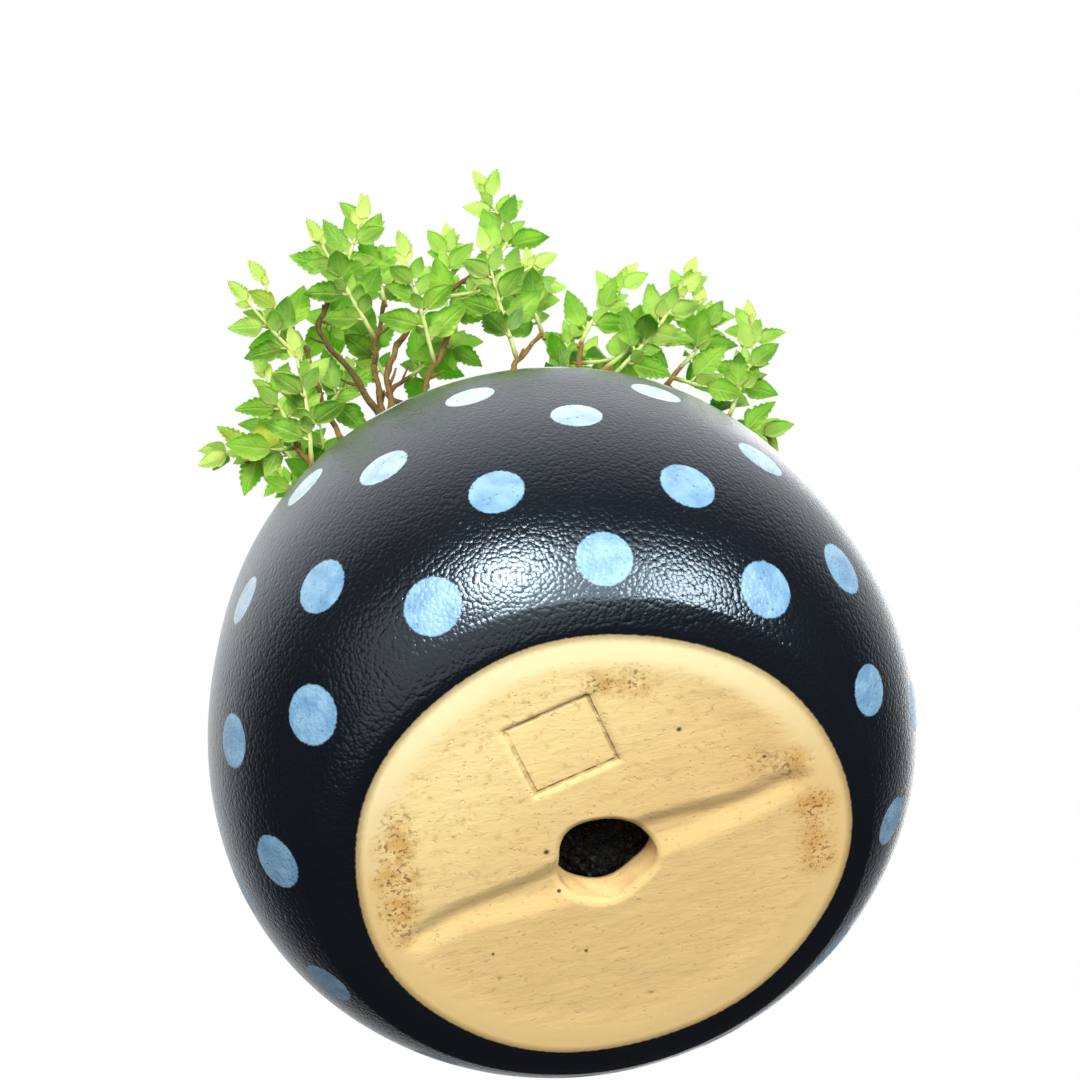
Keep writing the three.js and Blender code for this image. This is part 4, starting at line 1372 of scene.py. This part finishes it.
def bark_material():
    """Thin bark, darker on the old wood, with paler flakes and dark cracks"""
    n = new_material("thin_bark")
    patches = n.noise(500, 4)
    colour = n.mix(n.value("tone"), n.mix(patches, *DARK_BARK), n.mix(patches, *WARM_BARK))
    flakes = n.ramp(n.noise(1300, 4, 0.65), 0.58, 0.7)
    colour = n.mix(n.times(flakes, 0.7), colour, BARK_FLAKE)
    colour = n.mix(n.ramp(n.noise(2100, 3), 0.62, 0.72), colour, BARK_CRACK)
    relief = n.bump(n.plus(n.noise(1600, 5, 0.65), n.cells(900)), 0.00035)
    return n.dress(colour, 0.78, Normal=relief)


def leaf_veins(n):
    """1 along the rib, less along the slanted veins that branch off it"""
    aside = n.math("ABSOLUTE", n.value("aside"))
    beat = n.math("FRACT", n.times(n.minus(n.value("along"), n.times(aside, 0.22)), 7.5))
    branch = n.ramp(n.math("ABSOLUTE", n.minus(beat, 0.5)), 0.16, 0.03)
    return n.math("MAXIMUM", n.ramp(aside, 0.16, 0.02), n.times(branch, 0.55))


def leaf_material():
    """Fresh leaf: paler below and along its veins, yellower where young, olive where old"""
    n = new_material("spirea_leaf")
    veins = leaf_veins(n)
    tint = n.value("tint")
    fresh = n.mix(tint, *LEAF)
    fresh = n.mix(n.ramp(n.noise(260, 3), 0.4, 0.75), fresh, LEAF_PATCH)
    fresh = n.mix(n.ramp(tint, 0.14, 0.06, 0.0, 0.6), fresh, COOL_LEAF)
    old = n.times(n.ramp(tint, 0.9, 0.97), n.ramp(n.noise(330, 3), 0.35, 0.6))
    fresh = n.mix(old, fresh, OLD_LEAF)
    colour = n.mix(n.value("youth"), fresh, YOUNG_LEAF)
    colour = n.mix(n.times(veins, 0.2), colour, LEAF_VEIN)
    colour = n.mix(n.times(n.value("under"), 0.2), colour, LEAF_UNDERSIDE)
    woody = n.times(n.ramp(n.value("stem"), 0.7, 0.95), n.ramp(n.value("along"), 0.3, 0.06))
    colour = n.mix(n.value("stem"), colour, n.mix(woody, YOUNG_STEM, WOODY_STEM))
    raised = n.times(veins, n.ramp(n.value("youth"), 0.0, 0.8, 0.75, 0.08))
    relief = n.bump(n.minus(n.times(n.noise(1400, 3), 0.4), raised), 0.0001)
    return n.dress(
        colour, 0.5, Specular_IOR_Level=0.15, Subsurface_Weight=1.0,
        Subsurface_Radius=(0.35, 0.9, 0.12), Subsurface_Scale=0.001, Normal=relief,
    )


# Stage

SKY = (0.94, 0.97, 1.0, 1)
PLAIN_WHITE = (1, 1, 1, 1)
DAYLIGHT = (0.86, 0.94, 1.0)
LAMPLIGHT = (1, 1, 1)

# Two windows low in front, a patch of sky between them, a weak fill under the bare base and a broad light
# high behind: the point that each looks at, the way to it, its distance and size in metres, its power
LIGHTS = [
    ("left_window", (-1.2, -34.8, 3.8), (-0.056, -0.887, -0.458), 0.5, 0.18, 2.65, DAYLIGHT),
    ("right_window", (16, -28.5, 2), (0.67, -0.51, -0.535), 0.5, 0.17, 1.65, DAYLIGHT),
    ("sky_patch", (6, -30, 1), (0.25, -0.70, -0.62), 0.55, 0.45, 1.55, DAYLIGHT),
    ("base_fill", (-5, -20, 0), (-0.3, -0.85, -1.0), 0.2, 0.3, 0.19, LAMPLIGHT),
    ("high_behind", (0, 0, 60), (0.25, 0.55, 0.85), 1.0, 0.8, 3, LAMPLIGHT),
]


def floor_material():
    """Pale floor that is seen from above only, so that the base can be looked at from below"""
    n = new_material("pale_floor")
    n.dress(PALE_FLOOR, 0.7)
    below = n.node("ShaderNodeNewGeometry").outputs["Backfacing"]
    away = n.vector("LENGTH", n.places())["Value"]
    hidden = n.math("MAXIMUM", below, n.ramp(away, FLOOR_FADE, FLOOR_REACH))
    hidden = n.math("MAXIMUM", hidden, n.minus(1.0, n.is_camera_ray()))
    clear = n.node("ShaderNodeBsdfTransparent").outputs["BSDF"]
    both = n.mix_shaders(hidden, n.shader.outputs["BSDF"], clear)
    n.plug(n.tree.nodes["Material Output"].inputs["Surface"], both)
    return n.owner


def make_floor():
    mesh = bpy.data.meshes.new("floor")
    reach = FLOOR_REACH
    corners = [(-reach, -reach, 0), (reach, -reach, 0), (reach, reach, 0), (-reach, reach, 0)]
    mesh.from_pydata(corners, [], [(0, 1, 2, 3)])
    mesh.materials.append(floor_material())
    add_object("floor", mesh)


def make_world():
    """White to the camera; as light, bright above and dim below, as over a dark bench"""
    n = Nodes(bpy.data.worlds.new("soft_white"))
    sky = n.tree.nodes["Background"]
    rise = n.coordinate("Z", n.node("ShaderNodeTexCoord").outputs["Generated"])
    n.plug_all(sky, {"Color": SKY, "Strength": n.ramp(rise, 0.1, 0.85, 0.035, 1.1)})
    plain = n.node("ShaderNodeBackground", Color=PLAIN_WHITE)
    both = n.mix_shaders(n.is_camera_ray(), sky.outputs["Background"], plain.outputs["Background"])
    n.plug(n.tree.nodes["World Output"].inputs["Surface"], both)
    bpy.context.scene.world = n.owner


def add_light(name, target, way, distance, size, power, colour):
    """A soft square light that looks at a point of the plant from a direction"""
    middle = Vector(in_frame(*target))
    place = middle + Vector(way).normalized() * distance
    light = bpy.data.lights.new(name, "AREA")
    light.size = size
    light.energy = power
    light.color = colour
    lamp = add_object(name, light)
    lamp.location = place
    lamp.rotation_euler = (middle - place).to_track_quat("-Z", "Y").to_euler()


def make_camera():
    camera = bpy.data.cameras.new("photo_camera")
    camera.lens = CAMERA_LENS
    camera.sensor_width = CAMERA_SENSOR
    camera.clip_start = 0.005
    holder = add_object("photo_camera", camera)
    right = Vector(CAMERA_RIGHT)
    up = Vector(CAMERA_UP)
    turn = Matrix((right, up, right.cross(up))).transposed()
    holder.matrix_world = Matrix.Translation(in_frame(*CAMERA_PLACE)) @ turn.to_4x4()
    bpy.context.scene.camera = holder


def build():
    boughs, limbs, shoots = lay_out()
    make_pot(pot_material())
    make_soil(soil_material())
    make_trunk(boughs, limbs, bark_material())
    leaf = leaf_material()
    for number, shoot in enumerate(shoots, 1):
        make_shoot(shoot, number, leaf)


build()
make_floor()
make_world()
for light in LIGHTS:
    add_light(*light)
make_camera()
bpy.context.scene.view_settings.view_transform = "Standard"
